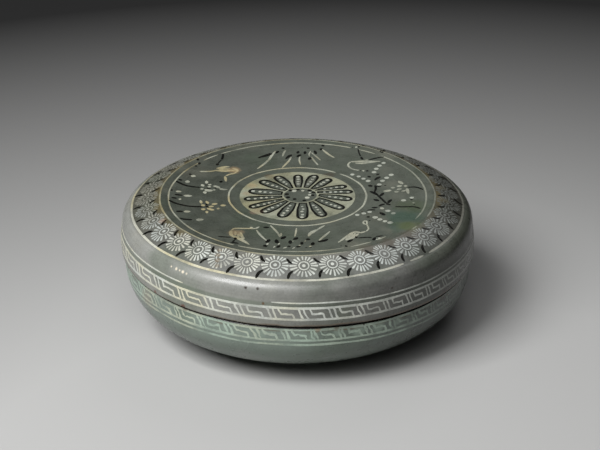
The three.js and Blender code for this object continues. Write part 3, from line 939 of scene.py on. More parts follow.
LEFT_SPRAYS = [
    (1.3, [(-48.4, 19.0), (-48.2, 15.4)], 0.3, 0.9),
    (1.4, [(-50.9, 14.2), (-49.6, 11.6)], 0.7, 0.6),
    (1.6, [(-47.4, 14.4), (-45.6, 13.6)], 0.7, 0.7),
    (1.5, [(-44.6, 12.6), (-42.6, 11.6), (-41.0, 9.8)], 0.7, 0.7),
    (1.3, [(-41.2, 9.4), (-39.6, 8.4), (-36.8, 8.0)], 0.8, 0.4),
    (1.6, [(-50.6, 9.4), (-50.2, 7.6)], 0.8, 0.7),
    (2.0, [(-49.0, 7.8), (-46.4, 6.6), (-44.6, 7.2)], 0.8, 0.7),
    (1.4, [(-44.6, 7.6), (-43.2, 7.4)], 0.8, 0.7),
    (1.5, [(-49.0, 5.6), (-48.4, 2.6)], 0.8, 0.4),
    (1.6, [(-47.6, 11.6), (-45.8, 11.2)], 0.8, 0.8),
    (1.1, [(-50.7, -5.6), (-49.9, -9.6)], 0.6, 0.7),
    (1.2, [(-47.6, -6.4), (-46.4, -9.8)], 0.5, 0.8),
    (1.7, [(-49.8, -11.0), (-48.2, -12.6)], 0.8, 0.7),
    (1.7, [(-44.6, -10.6), (-41.6, -9.4)], 0.6, 0.5),
    (1.8, [(-40.0, -11.6), (-37.2, -11.6)], 0.7, 0.6),
    (1.5, [(-46.0, -13.4), (-43.4, -12.8)], 0.8, 0.6),
    (2.0, [(-48.6, -15.6), (-48.8, -17.8)], 0.7, 0.6),
    (1.5, [(-46.8, -15.0), (-45.0, -16.6), (-43.0, -17.6)], 0.7, 0.7),
    (1.2, [(-46.8, -18.6), (-46.6, -21.6)], 0.8, 0.4),
    (1.8, [(-41.8, -15.6), (-40.2, -15.6)], 0.7, 0.7),
    (2.2, [(-57.0, 24.6), (-54.4, 24.0)], 0.7, 0.5),
    (2.6, [(-59.8, 17.0), (-57.2, 17.0)], 0.7, 0.8),
    (1.6, [(-64.0, 4.6), (-61.0, 4.4)], 0.8, 0.6),
    (1.8, [(-59.6, -0.4), (-55.2, -0.6)], 0.7, 0.6),
    (1.6, [(-62.0, -4.8), (-60.6, -5.2)], 0.8, 0.8),
    (1.8, [(-58.6, -20.0), (-55.2, -20.0)], 0.7, 0.7),
    (2.2, [(-51.8, -30.2), (-49.6, -29.6), (-48.0, -29.4)], 0.9, 0.5),
]
LEFT_SPRAYS_BLACK = [
    (0.9, [(-64.6, 17.2), (-62, 14.6), (-59, 12.2), (-56, 11.1), (-51.4, 10.2)], 1.0, 0.8),
    (0.9, [(-67.0, -6.8), (-64, -9.8), (-60, -12.0), (-56, -13.4), (-49.2, -13.7)], 1.0, 1.0),
    (0.9, [(-48.9, 13.6), (-48.2, 12.8)], 0.8, 0.8),
    (0.8, [(-48.4, 9.4), (-45.8, 9.2)], 0.7, 0.7),
    (0.9, [(-44.0, 10.2), (-42.8, 9.6)], 0.7, 0.7),
    (0.8, [(-47.6, -12.4), (-46.0, -14.8)], 0.7, 0.6),
    (0.6, [(-47.6, -9.6), (-46.8, -12.0)], 0.7, 0.6),
    (1.2, [(-58.2, 26.4), (-56.8, 26.4)], 0.6, 0.9),
    (1.0, [(-63.4, 19.6), (-61.4, 18.4)], 0.5, 0.9),
    (1.2, [(-67.0, 6.0), (-65.6, 5.8)], 0.7, 0.9),
    (1.0, [(-64.4, 0.7), (-62.4, 0.2), (-60.2, -0.2)], 0.8, 0.7),
    (0.9, [(-66, -3.0), (-63, -4.2)], 0.5, 0.9),
    (1.1, [(-62.6, -20.0), (-59.0, -20.3)], 0.8, 0.9),
    (1.1, [(-60.4, -28.2), (-58, -29.6), (-53.8, -30.0)], 0.5, 1.0),
]
RIGHT_WILLOW_BLACK = [
    (0.8, [(41.2, 12.6), (41.4, 9.0), (40.9, 5.6), (40.5, 4.2)], 0.9, 0.6),
    (0.8, [(40.4, 4.4), (41.6, 1.6), (43, -2), (44.4, -5.6), (46.2, -10)], 0.7, 0.9),
    (1.0, [(46.2, -10), (47.2, -11.4), (48.4, -12.4)], 1.0, 0.5),
    (1.3, [(38.2, 5.4), (40.2, 3.2), (42.0, 0.4)], 0.5, 0.6),
    (1.1, [(45.3, 3.0), (44.2, 0.8), (43.2, -1.2)], 0.8, 0.6),
    (1.4, [(39.8, -4.6), (41.2, -5.8), (42.6, -6.8)], 0.6, 0.8),
    (1.1, [(49.0, -5.4), (48.0, -7.4), (47.0, -9.8)], 0.8, 0.6),
    (1.0, [(45.4, -10.8), (43.6, -11.8), (42.2, -13.6)], 0.7, 0.7),
    (1.0, [(38.4, -14.8), (39.8, -15.1), (41.6, -14.6)], 0.8, 0.7),
    (0.8, [(36.0, -18.4), (38.2, -17.6), (40.2, -18.0)], 0.6, 0.8),
    (1.3, [(42.4, -20.8), (43.6, -22.8), (44.8, -24.8)], 0.4, 0.9),
    (1.2, [(35.6, -26.8), (36.8, -25.6)], 0.8, 0.8),
    (1.4, [(37.6, 12.9), (38.6, 12.2), (39.4, 10.8)], 0.9, 0.7),
    (0.9, [(41.4, 11.4), (44.2, 11.0)], 0.7, 0.6),
    (1.6, [(46.0, 12.0), (47.0, 12.4)], 0.8, 0.8),
    (1.2, [(37.8, 24.6), (39.0, 22.8)], 0.7, 0.8),
    (1.2, [(44.4, 23.6), (42.6, 21.4), (41.2, 19.0)], 0.5, 0.5),
    (0.9, [(42.4, 25.8), (44.0, 27.2)], 0.6, 0.8),
    (0.8, [(58.2, 8.9), (61.6, 9.1), (64, 7.8), (66.2, 5.2)], 0.7, 0.7),
    (1.0, [(58.8, -6.6), (60.2, -6.4)], 0.8, 0.8),
    (0.8, [(50.6, -14.4), (54, -14.9), (60.2, -15.4), (63.4, -18)], 0.9, 0.9),
    (0.8, [(60.4, -12.2), (60.8, -13.2)], 0.8, 0.8),
]
RIGHT_BLOSSOM = [
    (1.8, [(45.2, 5.0), (49.6, 5.9)], 0.6, 0.7),
    (1.6, [(49.4, 9.2), (51.6, 9.0)], 0.7, 0.7),
    (1.7, [(52.6, 10.6), (55.4, 11.2)], 0.7, 0.6),
    (1.6, [(52.4, 6.4), (55.0, 7.8)], 0.6, 0.7),
    (1.7, [(50.8, 4.0), (53.6, 4.0)], 0.7, 0.7),
    (1.6, [(53.8, 17.6), (54.6, 15.8), (56.0, 13.4)], 0.4, 0.6),
    (1.5, [(57.4, 12.0), (57.2, 9.6)], 0.5, 0.8),
    (1.4, [(57.8, 7.8), (58.0, 4.4), (58.3, 1.0)], 0.7, 0.4),
    (1.4, [(54.8, 4.0), (57.0, 5.6)], 0.7, 0.7),
    (1.1, [(60.4, -9.8), (60.2, -11.2)], 0.9, 0.8),
    (1.6, [(43.0, -15.0), (44.4, -17.0)], 0.9, 0.9),
]
# A comma and a tick in each gap of the blossom band, which is at the front with the rim towards -Y
BAND_COMMA = (1.5, [(1.8, -3.2), (-0.1, -5.0), (-0.8, -7.6)], 0.6, 0.9)
BAND_TICK = (1.4, [(-1.3, 4.9), (-0.7, 3.6), (-0.1, 2.5), (1.7, 1.1)], 0.7, 0.5)

# White buds, as places and radii
WILLOW_BUDS = [
    (46.8, 40.5, 1.1), (44.5, 37.3, 1.2), (42.6, 33.5, 1.2), (41.2, 29.2, 1.2),
    (29.5, 26.8, 1.1), (32.8, 24.2, 1.2), (35.3, 21.3, 1.2), (37.7, 18.4, 1.2),
    (50.3, 25.3, 1.3), (47.7, 21.8, 1.3), (45.3, 18.2, 1.3), (43.4, 13.6, 1.4),
    (30.7, -23.6, 1.2), (34.1, -21.9, 1.2), (37.2, -20.1, 1.3),
    (39.8, -27.0, 1.4), (42.1, -29.6, 1.5), (44.6, -32.0, 1.2), (47.2, -34.0, 1.4),
    (46.6, -19.4, 1.3), (49.3, -22.6, 1.2), (55.3, -7.0, 1.4), (59.8, -4.0, 1.2),
    (39.3, -53.8, 0.6), (40.9, -52.6, 0.7), (32.6, 61.4, 0.8),
]
EYE_BUDS = [(5.1, -2.2, 1.2), (6.4, 1.2, 0.9), (-1.8, 6.3, 1.3), (6.5, 4.2, 0.6), (2.8, 6.4, 0.8)]
EYE_DOTS = [
    (-3.7, 7.1, 1.1), (0.3, 7.8, 0.9), (6.4, 6.9, 1.1), (8.5, 4.3, 1.0), (8.0, 0.6, 0.9),
    (3.6, -5.8, 1.1), (-1.5, -4.0, 1.1), (-5.0, -1.8, 1.1), (-5.6, 2.1, 1.1),
]


# Drawings that repeat or follow a rule

def add_blossom(bm, kind):
    """One blossom: a dot, a ring and petals that widen outwards. Outwards from the lid is -Y."""
    hand = random.Random(kind)
    add_plate(bm, [circle(BLOSSOM_DOT, DOT_SIDES)])
    ring = [BLOSSOM_RING + side * BLOSSOM_RING_WIDTH / 2 for side in (1, -1)]
    add_plate(bm, [circle(radius, 24) for radius in ring])
    count = BLOSSOM_PETALS[kind]
    for i in range(count):
        stray = hand.uniform(-BLOSSOM_TURN_STRAYS, BLOSSOM_TURN_STRAYS)
        turn = 2 * math.pi * (i + stray) / count
        outwards = -math.sin(turn)
        furthest = BLOSSOM_REACH_OUT if outwards > 0 else BLOSSOM_REACH_IN
        end = BLOSSOM_REACH_SIDE + (furthest - BLOSSOM_REACH_SIDE) * abs(outwards)
        end += hand.uniform(*BLOSSOM_END_STRAYS)
        start = BLOSSOM_PETAL_START + hand.uniform(-BLOSSOM_START_STRAYS, BLOSSOM_START_STRAYS)
        wide = BLOSSOM_PETAL_SHARE * 2 * math.pi * end / count
        out = Vector((math.cos(turn), math.sin(turn)))
        places = [start, (start + end) / 2, end - BLOSSOM_PETAL_END, end]
        add_strip(bm, [out * reach for reach in places], [wide * share for share in BLOSSOM_PETAL_SHAPE])


def add_fret_unit(bm, pitch, low, high, width):
    """One unit of the key fret: two slanted bars and a hook that steps down between the lines."""
    middle = (low + high) / 2

    def on_slant(share, z):
        return share * pitch + FRET_SLANT * (high - z) / (high - low), z

    for share in (0, SECOND_BAR):
        add_bar(bm, [on_slant(share, high), on_slant(share, low)], width)
    add_bar(bm, [
        on_slant(HOOK_TOP, high), on_slant(HOOK_TOP, middle),
        on_slant(HOOK_FOOT, middle), on_slant(HOOK_FOOT, low),
    ], width)


def add_bar(bm, corners, width):
    """A fret stroke of even width with nearly square corners."""
    line = softened(spaced(corners, FRET_STEP), 1)
    add_strip(bm, line, [width] * len(line))


def petal_line(tip, root_turn):
    """Where a petal of the middle flower starts, beside the eye, and its direction and length."""
    turn = math.radians(root_turn)
    root = Vector(EYE_CENTRE) + ROOT_REACH * Vector((math.cos(turn), math.sin(turn)))
    return root, (Vector(tip) - root).normalized(), (Vector(tip) - root).length


def spokes():
    """The middle of the white spoke after each petal, as a point and a direction."""
    edges = []
    for tip, root_turn, root_half, half in PETALS:
        root, along, length = petal_line(tip, root_turn)
        out = Vector((-along.y, along.x))
        widest = root + along * (length - half * PETAL_TIP_LENGTH)
        edges.append((
            root + out * root_half, root - out * root_half, widest + out * half, widest - out * half,
        ))
    lines = []
    for (_, near_start, _, near_end), (far_start, _, far_end, _) in zip(edges, [*edges[1:], edges[0]]):
        start = (near_start + far_start) / 2
        end = (near_end + far_end) / 2
        lines.append((start, (end - start).normalized()))
    return lines


def petal_loops(inset):
    """The outlines of the petals of the middle flower, drawn a little inside their true edges, less so
    near the root. A petal leaves room for the spokes beside it."""
    lines = spokes()
    loops = []
    for i, (tip, root_turn, root_half, half) in enumerate(PETALS):
        root, along, length = petal_line(tip, root_turn)
        out = Vector((-along.y, along.x))
        shoulder = length - half * PETAL_TIP_LENGTH
        edges = []
        for side, (start, direction) in ((1, lines[i - 1]), (-1, lines[i])):
            edge = []
            for t in steps(0, 1, PETAL_SIDE_STEPS):
                place = root + along * (inset * ROOT_INSET + (shoulder - inset * ROOT_INSET) * t)
                swell = math.sin(min(1, t / PETAL_WIDEST) * math.pi / 2) ** PETAL_BULGE
                room = abs((place - start).cross(direction)) - SPOKE_WIDTH / 2
                wide = min(root_half + (half - root_half) * swell, room) - inset * (1 + t) / 2
                wide = max(PETAL_NARROWEST, wide)
                edge.append(place + out * side * wide)
            for t in steps(0, math.pi / 2, PETAL_TIP_STEPS)[1:-1]:
                down = shoulder + (length - inset - shoulder) * math.sin(t)
                edge.append(root + along * down + out * side * wide * math.cos(t))
            edges.append(edge)
        loops.append([*edges[1], root + along * (length - inset), *reversed(edges[0])])
    return loops


def add_medallion_ground(bm):
    eye = circle(EYE_RADIUS, 40, *EYE_CENTRE)
    add_plate(bm, [circle(MEDALLION_RADIUS, 120), *petal_loops(0), eye])


def add_petal_outlines(bm):
    for outer, inner in zip(petal_loops(0.02), petal_loops(PETAL_OUTLINE)):
        add_plate(bm, [outer, inner], BLACK_LIFT)


def petal_buds():
    """Places and radii of the row of white dots in each petal, larger towards its tip."""
    hand = random.Random(len(PETALS))
    buds = []
    for tip, root_turn, _, _ in PETALS:
        root, along, length = petal_line(tip, root_turn)
        out = Vector((-along.y, along.x))
        count = int((length - ROOT_ROOM) / BUD_STEP) + 1
        stray_along, stray_out = BUD_STRAYS
        for i in range(count):
            down = FIRST_BUD + i * BUD_STEP + hand.uniform(-stray_along, stray_along)
            place = root + along * (length - down) + out * hand.uniform(-stray_out, stray_out)
            buds.append((place.x, place.y, TIP_BUD - BUD_SHRINKS * i))
    return buds


def add_points(bm, places, lift):
    """Loose points that carry a radius, for the tree that sets a dot on each."""
    layer = bm.verts.layers.float.new("dot_radius")
    for x, y, radius in places:
        bm.verts.new((x * MM, y * MM, lift * MM))[layer] = radius


# Materials

def linear(red, green, blue):
    """A colour from its screen values out of 255."""
    shares = [value / 255 for value in (red, green, blue)]
    return (*[s / 12.92 if s <= 0.04045 else ((s + 0.055) / 1.055) ** 2.4 for s in shares], 1.0)


# Finishes. Lengths in a material are metres, because it reads the piece's own coordinates.

GLAZE_ROUGHNESS = 0.26

# How many times to the metre the noises change: specks, crazing, and the marks of throwing
SPECK_CELLS = 120.0
CRAZE_CELLS = 230.0
MARKS_ROUND = 9.0
MARKS_ACROSS = 620.0

FIELD_TONE = linear(81, 86, 77)
BAND_TONE = linear(112, 113, 109)
BAND_DARK = linear(72, 72, 61)
# The shoulder's tone: partly its paler glaze, partly a painted sheen.
SHOULDER_TONE_AND_SHEEN = linear(117, 118, 114)
SIDE_TONE = linear(114, 115, 110)
LID_FOOT_TONE = linear(111, 112, 106)
BOX_TONE = linear(99, 109, 101)
BOWL_TONE = linear(89, 98, 90)
POOL_TONE = linear(66, 78, 62)
THIN_TONE = linear(124, 122, 108)

SEAM_SHADE_AND_DIRT_BLACK = linear(30, 24, 18)
EDGE_BROWN = linear(104, 82, 58)
IRON_BROWN = linear(92, 70, 46)
RUST = linear(150, 104, 62)
RUST_PALE = linear(176, 148, 108)
DARK_RUST = linear(96, 54, 36)
PINK_BROWN = linear(150, 124, 106)
SMOKE_BROWN = linear(76, 70, 58)
OLIVE = linear(72, 82, 60)
POOL_GREEN = linear(60, 80, 68)
POOL_YELLOW = linear(90, 98, 54)
DRIP_BROWN = linear(120, 108, 90)
RIDGE_BROWN = linear(94, 86, 60)
SPECK_BROWN = linear(44, 34, 24)
CRAZE_BROWN = linear(84, 82, 70)
BARE_CLAY = linear(148, 126, 102)
BARE_DARK = linear(122, 100, 76)
RUN_SLIP = linear(136, 152, 138)
CHIP_AND_GLARE_PALE = linear(240, 228, 204)


def round_at(turn, radius, height=None):
    """A place in millimetres from a turn in degrees, a radius and a height, which is the lid's top if none
    is given."""
    angle = math.radians(turn)
    z = top_height(radius) if height is None else height
    return radius * math.sin(angle), -radius * math.cos(angle), z


# Stains in the glaze of the lid: place in millimetres, reach, colour and strength
LID_STAINS = [
    (round_at(64, 61), 12, POOL_GREEN, 0.8),
    (round_at(52, 65), 8, POOL_GREEN, 0.6),
    (round_at(76, 61), 11, OLIVE, 0.6),
    (round_at(55, 68), 8, POOL_YELLOW, 0.5),
    (round_at(28, 73), 6, SMOKE_BROWN, 0.6),
    (round_at(38, 73), 6, SMOKE_BROWN, 0.65),
    (round_at(50, 74), 6, SMOKE_BROWN, 0.6),
    (round_at(86, 76.4), 4, RIDGE_BROWN, 0.5),
    (round_at(98, 75.2), 5, RIDGE_BROWN, 0.45),
    (round_at(-31, 75), 1.6, DRIP_BROWN, 0.8),
    (round_at(-30.3, 78), 1.7, DRIP_BROWN, 0.8),
    (round_at(-29.2, 81), 1.8, DRIP_BROWN, 0.75),
    (round_at(-28.2, 84), 1.7, DRIP_BROWN, 0.6),
    (round_at(-66.5, 75.5), 3.0, PINK_BROWN, 0.55),
    (round_at(-52.5, 74.2), 3.6, RIDGE_BROWN, 0.7),
    (round_at(-78, 74.2), 3.4, RIDGE_BROWN, 0.6),
    # Pale chips of wear on the shoulder, partly a painted highlight where the sheen is brightest.
    (round_at(-43.6, 90.7, 59.3), 0.8, CHIP_AND_GLARE_PALE, 0.7),
    (round_at(-41.4, 90.7, 59.2), 1.1, CHIP_AND_GLARE_PALE, 0.7),
    (round_at(-39.9, 90.7, 59.1), 0.9, CHIP_AND_GLARE_PALE, 0.8),
    (round_at(-38.6, 90.7, 59.0), 1.3, CHIP_AND_GLARE_PALE, 0.8),
    (round_at(-37, 90.8, 58.8), 1.0, CHIP_AND_GLARE_PALE, 0.7),
    (round_at(-35.2, 90.8, 58.7), 0.7, CHIP_AND_GLARE_PALE, 0.6),
    (round_at(-16.2, 91.1, 58.9), 1.0, SPECK_BROWN, 0.9),
    (round_at(-12.4, 91.1, 59.0), 0.9, SPECK_BROWN, 0.9),
    (round_at(-10.5, 92.6, 51.9), 1.0, IRON_BROWN, 0.9),
    (round_at(30.2, 92.2, 54.2), 0.8, SPECK_BROWN, 1.0),
    (round_at(14, 92.6, 46), 5, OLIVE, 0.35),
    (round_at(-38, 92.6, 40.8), 1.8, DARK_RUST, 0.9),
    (round_at(-50.6, 92.6, 41.4), 1.6, DARK_RUST, 0.8),
    # Painted shadow: a dark patch at the seam on the right.
    (round_at(53, 92.6, 39.6), 4, SPECK_BROWN, 0.8),
    ((-34, 33, 67.6), 5, RUST_PALE, 0.45),
    ((-31, -45, 67.6), 5, RUST_PALE, 0.35),
    ((-24, 13, 67.3), 3.6, RUST_PALE, 0.5),
    ((-27, 3, 67.3), 3.2, RUST, 0.35),
    ((-21, -19, 67.3), 4.0, PINK_BROWN, 0.45),
    ((-12, -26, 67.3), 4.5, OLIVE, 0.5),
    ((-15, 25, 67.3), 4.0, IRON_BROWN, 0.5),
    ((17, 26, 67.3), 5, SMOKE_BROWN, 0.6),
]
BOX_STAINS = [
    (round_at(6, 91.4, 38.2), 2.6, RUST, 0.9),
    (round_at(12, 91.4, 37.8), 2.0, IRON_BROWN, 0.9),
    (round_at(-38, 91.4, 39.4), 2.0, DARK_RUST, 0.7),
    # Painted shadow: a dark patch at the seam on the right.
    (round_at(53.5, 91.4, 37.0), 4, SPECK_BROWN, 0.8),
    (round_at(-58, 89, 33), 8, PINK_BROWN, 0.3),
    (round_at(-12, 91, 34.4), 3.0, RUN_SLIP, 0.4),
    (round_at(4.5, 91, 33.4), 2.8, RUN_SLIP, 0.5),
    (round_at(12.5, 91, 34.6), 3.2, RUN_SLIP, 0.5),
    (round_at(33, 91, 34.0), 3.2, RUN_SLIP, 0.4),
    (round_at(19, 91, 33.8), 4.0, RUN_SLIP, 0.6),
    (round_at(26, 91, 34.4), 4.2, RUN_SLIP, 0.6),
    (round_at(-23, 91, 34.6), 2.6, RUN_SLIP, 0.4),
]


# Where one tone of glaze goes over into the next, from one value to another: by distance from the axis on
# the lid's top, and by height further down
FIELD_TO_BAND = (0.0716, 0.0732)
BAND_TO_SHOULDER = (0.0862, 0.0885)
# Painted sheen: above these heights the lid's right-hand painted shade is weaker.
SHOULDER_PAINTED_SHEEN = (0.0565, 0.0595)
SHOULDER_TO_SIDE = (0.0590, 0.0545)
SIDE_TO_FOOT = (0.0440, 0.0425)
BOX_TO_BOWL = (0.0310, 0.0200)

# Where painted light and shade, and the olive glaze, change across the pot, by X, and where the band and
# its slips darken away from the front, by Y
TOP_PAINTED_SHADE_RIGHT = (0.010, 0.085)
TOP_PAINTED_SHADE_RIGHT_OUTSIDE = (0.0700, 0.0735)
FIELD_PAINTED_SHADE_LEFT = (0.0, -0.05)
LID_SIDE_PAINTED_LIGHT_AND_SHADE = (-0.055, 0.080)
LID_FAR_RIGHT_PAINTED_SHADE = (0.072, 0.091)
LID_OLIVE_AND_SHADE_RIGHT = (0.050, 0.086)
BOX_SIDE_PAINTED_LIGHT_AND_SHADE = (-0.020, 0.085)
BAND_BEHIND = (-0.078, -0.008)
SLIP_BEHIND = (-0.072, -0.008)
SLIP_VEILED_RIGHT = (0.035, 0.085)
SLIP_WARM_LEFT = (0.070, -0.060)
RIDGE_BEHIND = (-0.060, -0.020)

# Strips round the pot, as a middle and a reach: thick glaze over the lid's fret, and a smear by the ridge
FRET_POOL = (0.0509, 0.0020)
RIDGE_SMEAR = ((FIELD_RADIUS + 1.7) * MM, 0.0024)

# The level of the seam's dark edge on each half, and how far its dirt and painted shade and its brown edge
# reach
LID_SEAM = 0.03845
BOX_SEAM = 0.0378
SEAM_SHADE_AND_DIRT_REACH = (0.0013, 0.0007)
SEAM_EDGE = (0.0022, 0.0008)

# Where the clay is bare: the lid's rim by level, the box's ledge by level and radius, its foot by height
BARE_RIM = (0.0384, 0.0382)
BARE_LEDGE = (0.0379, 0.0381)
BARE_LEDGE_RADIUS = (0.0845, 0.0848)
BARE_FOOT = (0.0012, 0.0006)


def empty_material(name):
    made = bpy.data.materials.new(name)
    made.use_nodes = True
    made.node_tree.nodes.clear()
    return made


class Finish(Nodes):
    """A finish in the making. Its nodes read a point's place, its distance from the axis and its level,
    which is its height as if the pot were true."""

    def __init__(self, name):
        self.material = empty_material(name)
        super().__init__(self.material.node_tree)
        self.place = self.node("ShaderNodeTexCoord").outputs["Object"]
        self.x, self.y, self.height = self.parted(self.place)
        flat = self.joined(self.x, self.y)
        self.radius = self.node("ShaderNodeVectorMath", {0: flat}, operation="LENGTH").outputs["Value"]
        lean = self.times(self.maths("DIVIDE", self.x, self.radius), WARP_TILT * MM)
        self.level = self.plus(self.height, self.minus(lean, WARP_RISE * MM))
        # Painted shade: outside the field, the lid's band and the slips are darkened towards the right.
        self.painted_shade_right = self.times(self.ramp(self.x, *TOP_PAINTED_SHADE_RIGHT), self.ramp(self.radius, *TOP_PAINTED_SHADE_RIGHT_OUTSIDE))
        self.broad = self.noise(28, 3)
        self.mottle = self.noise(130, 3)
        self.grain = self.noise(900, 2)
        self.ragged = self.noise(330, 3, 0.6)

    def noise(self, scale, detail, roughness=0.5, place=None):
        return self.node("ShaderNodeTexNoise", {
            "Vector": place or self.place, "Scale": scale, "Detail": detail, "Roughness": roughness,
        }).outputs[0]

    def near(self, value, middle, reach):
        """1 where a value is at the middle, falling to 0 at the reach."""
        away = self.maths("ABSOLUTE", self.minus(value, middle))
        return self.ramp(away, reach, reach * 0.3)

    def throwing_marks(self, upwards):
        """Fine lines that run round the pot, as the wheel and the brush leave them. They step along its
        outline, which climbs as it narrows on the lid and as it widens on the bowl."""
        along = self.maths("SUBTRACT" if upwards else "ADD", self.height, self.radius)
        drawn_out = self.scaled(self.place, MARKS_ROUND)
        place = self.vectors("ADD", drawn_out, self.joined(z=self.times(along, MARKS_ACROSS)))
        return self.noise(1.0, 3, 0.6, place)

    def shaded(self, colour, drift, *swings):
        """Makes a colour lighter and darker by a drift, which is painted light and shade across the pot, and
        by some noises, each with how much it counts.
        """
        shade = self.plus(drift, 1.0)
        for value, amount in swings:
            shade = self.plus(self.times(self.minus(value, 0.5), amount), shade)
        return self.scaled(colour, shade)

    def patched(self, tone, thin, thick, thin_tone):
        """Lays broad patches where the glaze is thicker or thinner than between two shares of a noise."""
        tone = self.mix(self.times(self.ramp(self.broad, thick, 0.68), 0.4), tone, POOL_TONE)
        return self.mix(self.times(self.ramp(self.broad, thin, 0.30), 0.3), tone, thin_tone)

    def lid_tone(self):
        """The glaze of the lid: dark on top, paler down the shoulder and side, and darker at its foot. It has
        painted light on the left of its side, painted shade towards the right and on the left of the field,
        and a painted sheen on the upper shoulder at the right. The band is darker away from the front."""
        side = self.ramp(self.radius, *BAND_TO_SHOULDER)
        band = self.mix(self.times(self.ramp(self.y, *BAND_BEHIND), 0.8), BAND_TONE, BAND_DARK)
        tone = self.mix(self.ramp(self.radius, *FIELD_TO_BAND), FIELD_TONE, band)
        tone = self.mix(side, tone, SHOULDER_TONE_AND_SHEEN)
        tone = self.mix(self.ramp(self.height, *SHOULDER_TO_SIDE), tone, SIDE_TONE)
        tone = self.mix(self.times(self.near(self.level, *FRET_POOL), 0.45), tone, POOL_TONE)
        tone = self.mix(self.ramp(self.level, *SIDE_TO_FOOT), tone, LID_FOOT_TONE)
        # Olive glaze on the right of the shoulder and side: partly the glaze's own colour, partly painted
        # shade.
        tone = self.mix(self.times(self.ramp(self.x, *LID_OLIVE_AND_SHADE_RIGHT), side, 0.55), tone, OLIVE)
        tone = self.patched(tone, 0.46, 0.50, THIN_TONE)
        # Painted sheen: the right-hand painted shade is weaker on the upper shoulder.
        side_shade_less_sheen = self.minus(1.12, self.times(self.ramp(self.height, *SHOULDER_PAINTED_SHEEN), 0.28))
        # Painted light and shade: the shoulder and side are lighter on the left and darker towards the right,
        # darkest at the far right.
        painted_light_and_shade_on_side = self.minus(0.48, self.times(self.ramp(self.x, *LID_SIDE_PAINTED_LIGHT_AND_SHADE), side_shade_less_sheen))
        painted_light_and_shade_on_side = self.plus(painted_light_and_shade_on_side, self.times(self.ramp(self.x, *LID_FAR_RIGHT_PAINTED_SHADE), -0.16))
        inside_band = self.ramp(self.radius, *reversed(FIELD_TO_BAND))
        # Painted shade on the lid's top: the left of the field is darkened, and the band on the right.
        left = self.times(self.ramp(self.x, *FIELD_PAINTED_SHADE_LEFT), inside_band, -0.28)
        on_top = self.plus(left, self.times(self.painted_shade_right, -0.5))
        # The drift is painted light and shade across the lid.
        drift = self.plus(self.times(painted_light_and_shade_on_side, side), self.times(on_top, self.minus(1.0, side)))
        marks = self.throwing_marks(upwards=True)
        return self.shaded(tone, drift, (self.mottle, 0.5), (marks, 0.42), (self.grain, 0.45))

    def box_tone(self):
        """The glaze of the box: bluer green, and darker where it turns under, with painted light on the left
        and painted shade towards the right.
        """
        tone = self.mix(self.ramp(self.height, *BOX_TO_BOWL), BOX_TONE, BOWL_TONE)
        tone = self.patched(tone, 0.44, 0.52, SIDE_TONE)
        # Painted light and shade: the box is lighter on the left and darker towards the right.
        drift = self.minus(0.5, self.times(self.ramp(self.x, *BOX_SIDE_PAINTED_LIGHT_AND_SHADE), 1.08))
        marks = self.throwing_marks(upwards=False)
        return self.shaded(tone, drift, (self.mottle, 0.5), (marks, 0.32), (self.grain, 0.4))

    def slip_laid(self, tone, cool, warm, veil, patchy, aside):
        """A filling of slip seen through the glaze: warmer on the left, darker towards the right by painted
        shade, and veiled by thick glaze in patches, on the right and away from the front."""
        warmth = self.times(self.ramp(self.noise(45, 3), 0.40, 0.60), self.ramp(self.x, *SLIP_WARM_LEFT))
        slip = self.mix(warmth, cool, warm)
        # Painted shade: the slip is darkened towards the right.
        slip = self.shaded(slip, self.times(self.painted_shade_right, -0.4), (self.mottle, 0.35), (self.grain, 0.5))
        patches = self.times(self.ramp(self.noise(75, 4, 0.6), 0.44, 0.68), patchy)
        right = self.times(self.ramp(self.x, *SLIP_VEILED_RIGHT), patchy)
        behind = self.times(self.ramp(self.y, *SLIP_BEHIND), aside)
        thickest = self.maths("MAXIMUM", self.maths("MAXIMUM", patches, right), behind)
        cover = self.maths("MINIMUM", self.plus(thickest, veil), 0.9)
        return self.mix(cover, slip, tone)

    def stained(self, colour, stains, strength=1.0):
        """Lays stains with ragged edges on a colour."""
        wander = self.plus(self.times(self.mottle, 0.9), self.times(self.ragged, 1.1))
        for place, reach, tone, depth in stains:
            middle = tuple(value * MM for value in place)
            away = self.times(self.vectors("DISTANCE", self.place, middle), wander)
            share = self.ramp(away, reach * MM, reach * 0.35 * MM)
            colour = self.mix(self.times(share, depth * strength), colour, tone)
        return colour

    def specked(self, colour):
        """Iron specks, and a fine net of crazing."""
        cells = self.node("ShaderNodeTexVoronoi", {"Vector": self.place, "Scale": SPECK_CELLS})
        chosen = self.node("ShaderNodeSeparateColor", {0: cells.outputs["Color"]}).outputs
        size = self.times(chosen[1], 0.06)
        speck = self.ramp(self.minus(cells.outputs["Distance"], size), 0.03, 0.0)
        colour = self.mix(self.times(speck, self.ramp(chosen[0], 0.80, 0.84), 0.85), colour, SPECK_BROWN)
        net = self.node(
            "ShaderNodeTexVoronoi", {"Vector": self.place, "Scale": CRAZE_CELLS}, feature="DISTANCE_TO_EDGE",
        )
        self.craze = self.ramp(net.outputs["Distance"], 0.035, 0.0)
        return self.mix(self.times(self.craze, 0.16), colour, CRAZE_BROWN)

    def seam_dirtied_and_shaded(self, colour, seam):
        """Dirt and painted shade along the seam, uneven in width, with a brown edge."""
        wavy = self.times(self.minus(self.noise(42, 3), 0.5), 0.0045)
        away = self.plus(self.maths("ABSOLUTE", self.minus(self.level, seam)), wavy)
        colour = self.mix(self.times(self.ramp(away, *SEAM_EDGE), 0.75), colour, EDGE_BROWN)
        # Painted shade: the seam's gap is darkened nearly to black, partly as dirt.
        return self.mix(self.ramp(away, *SEAM_SHADE_AND_DIRT_REACH), colour, SEAM_SHADE_AND_DIRT_BLACK)

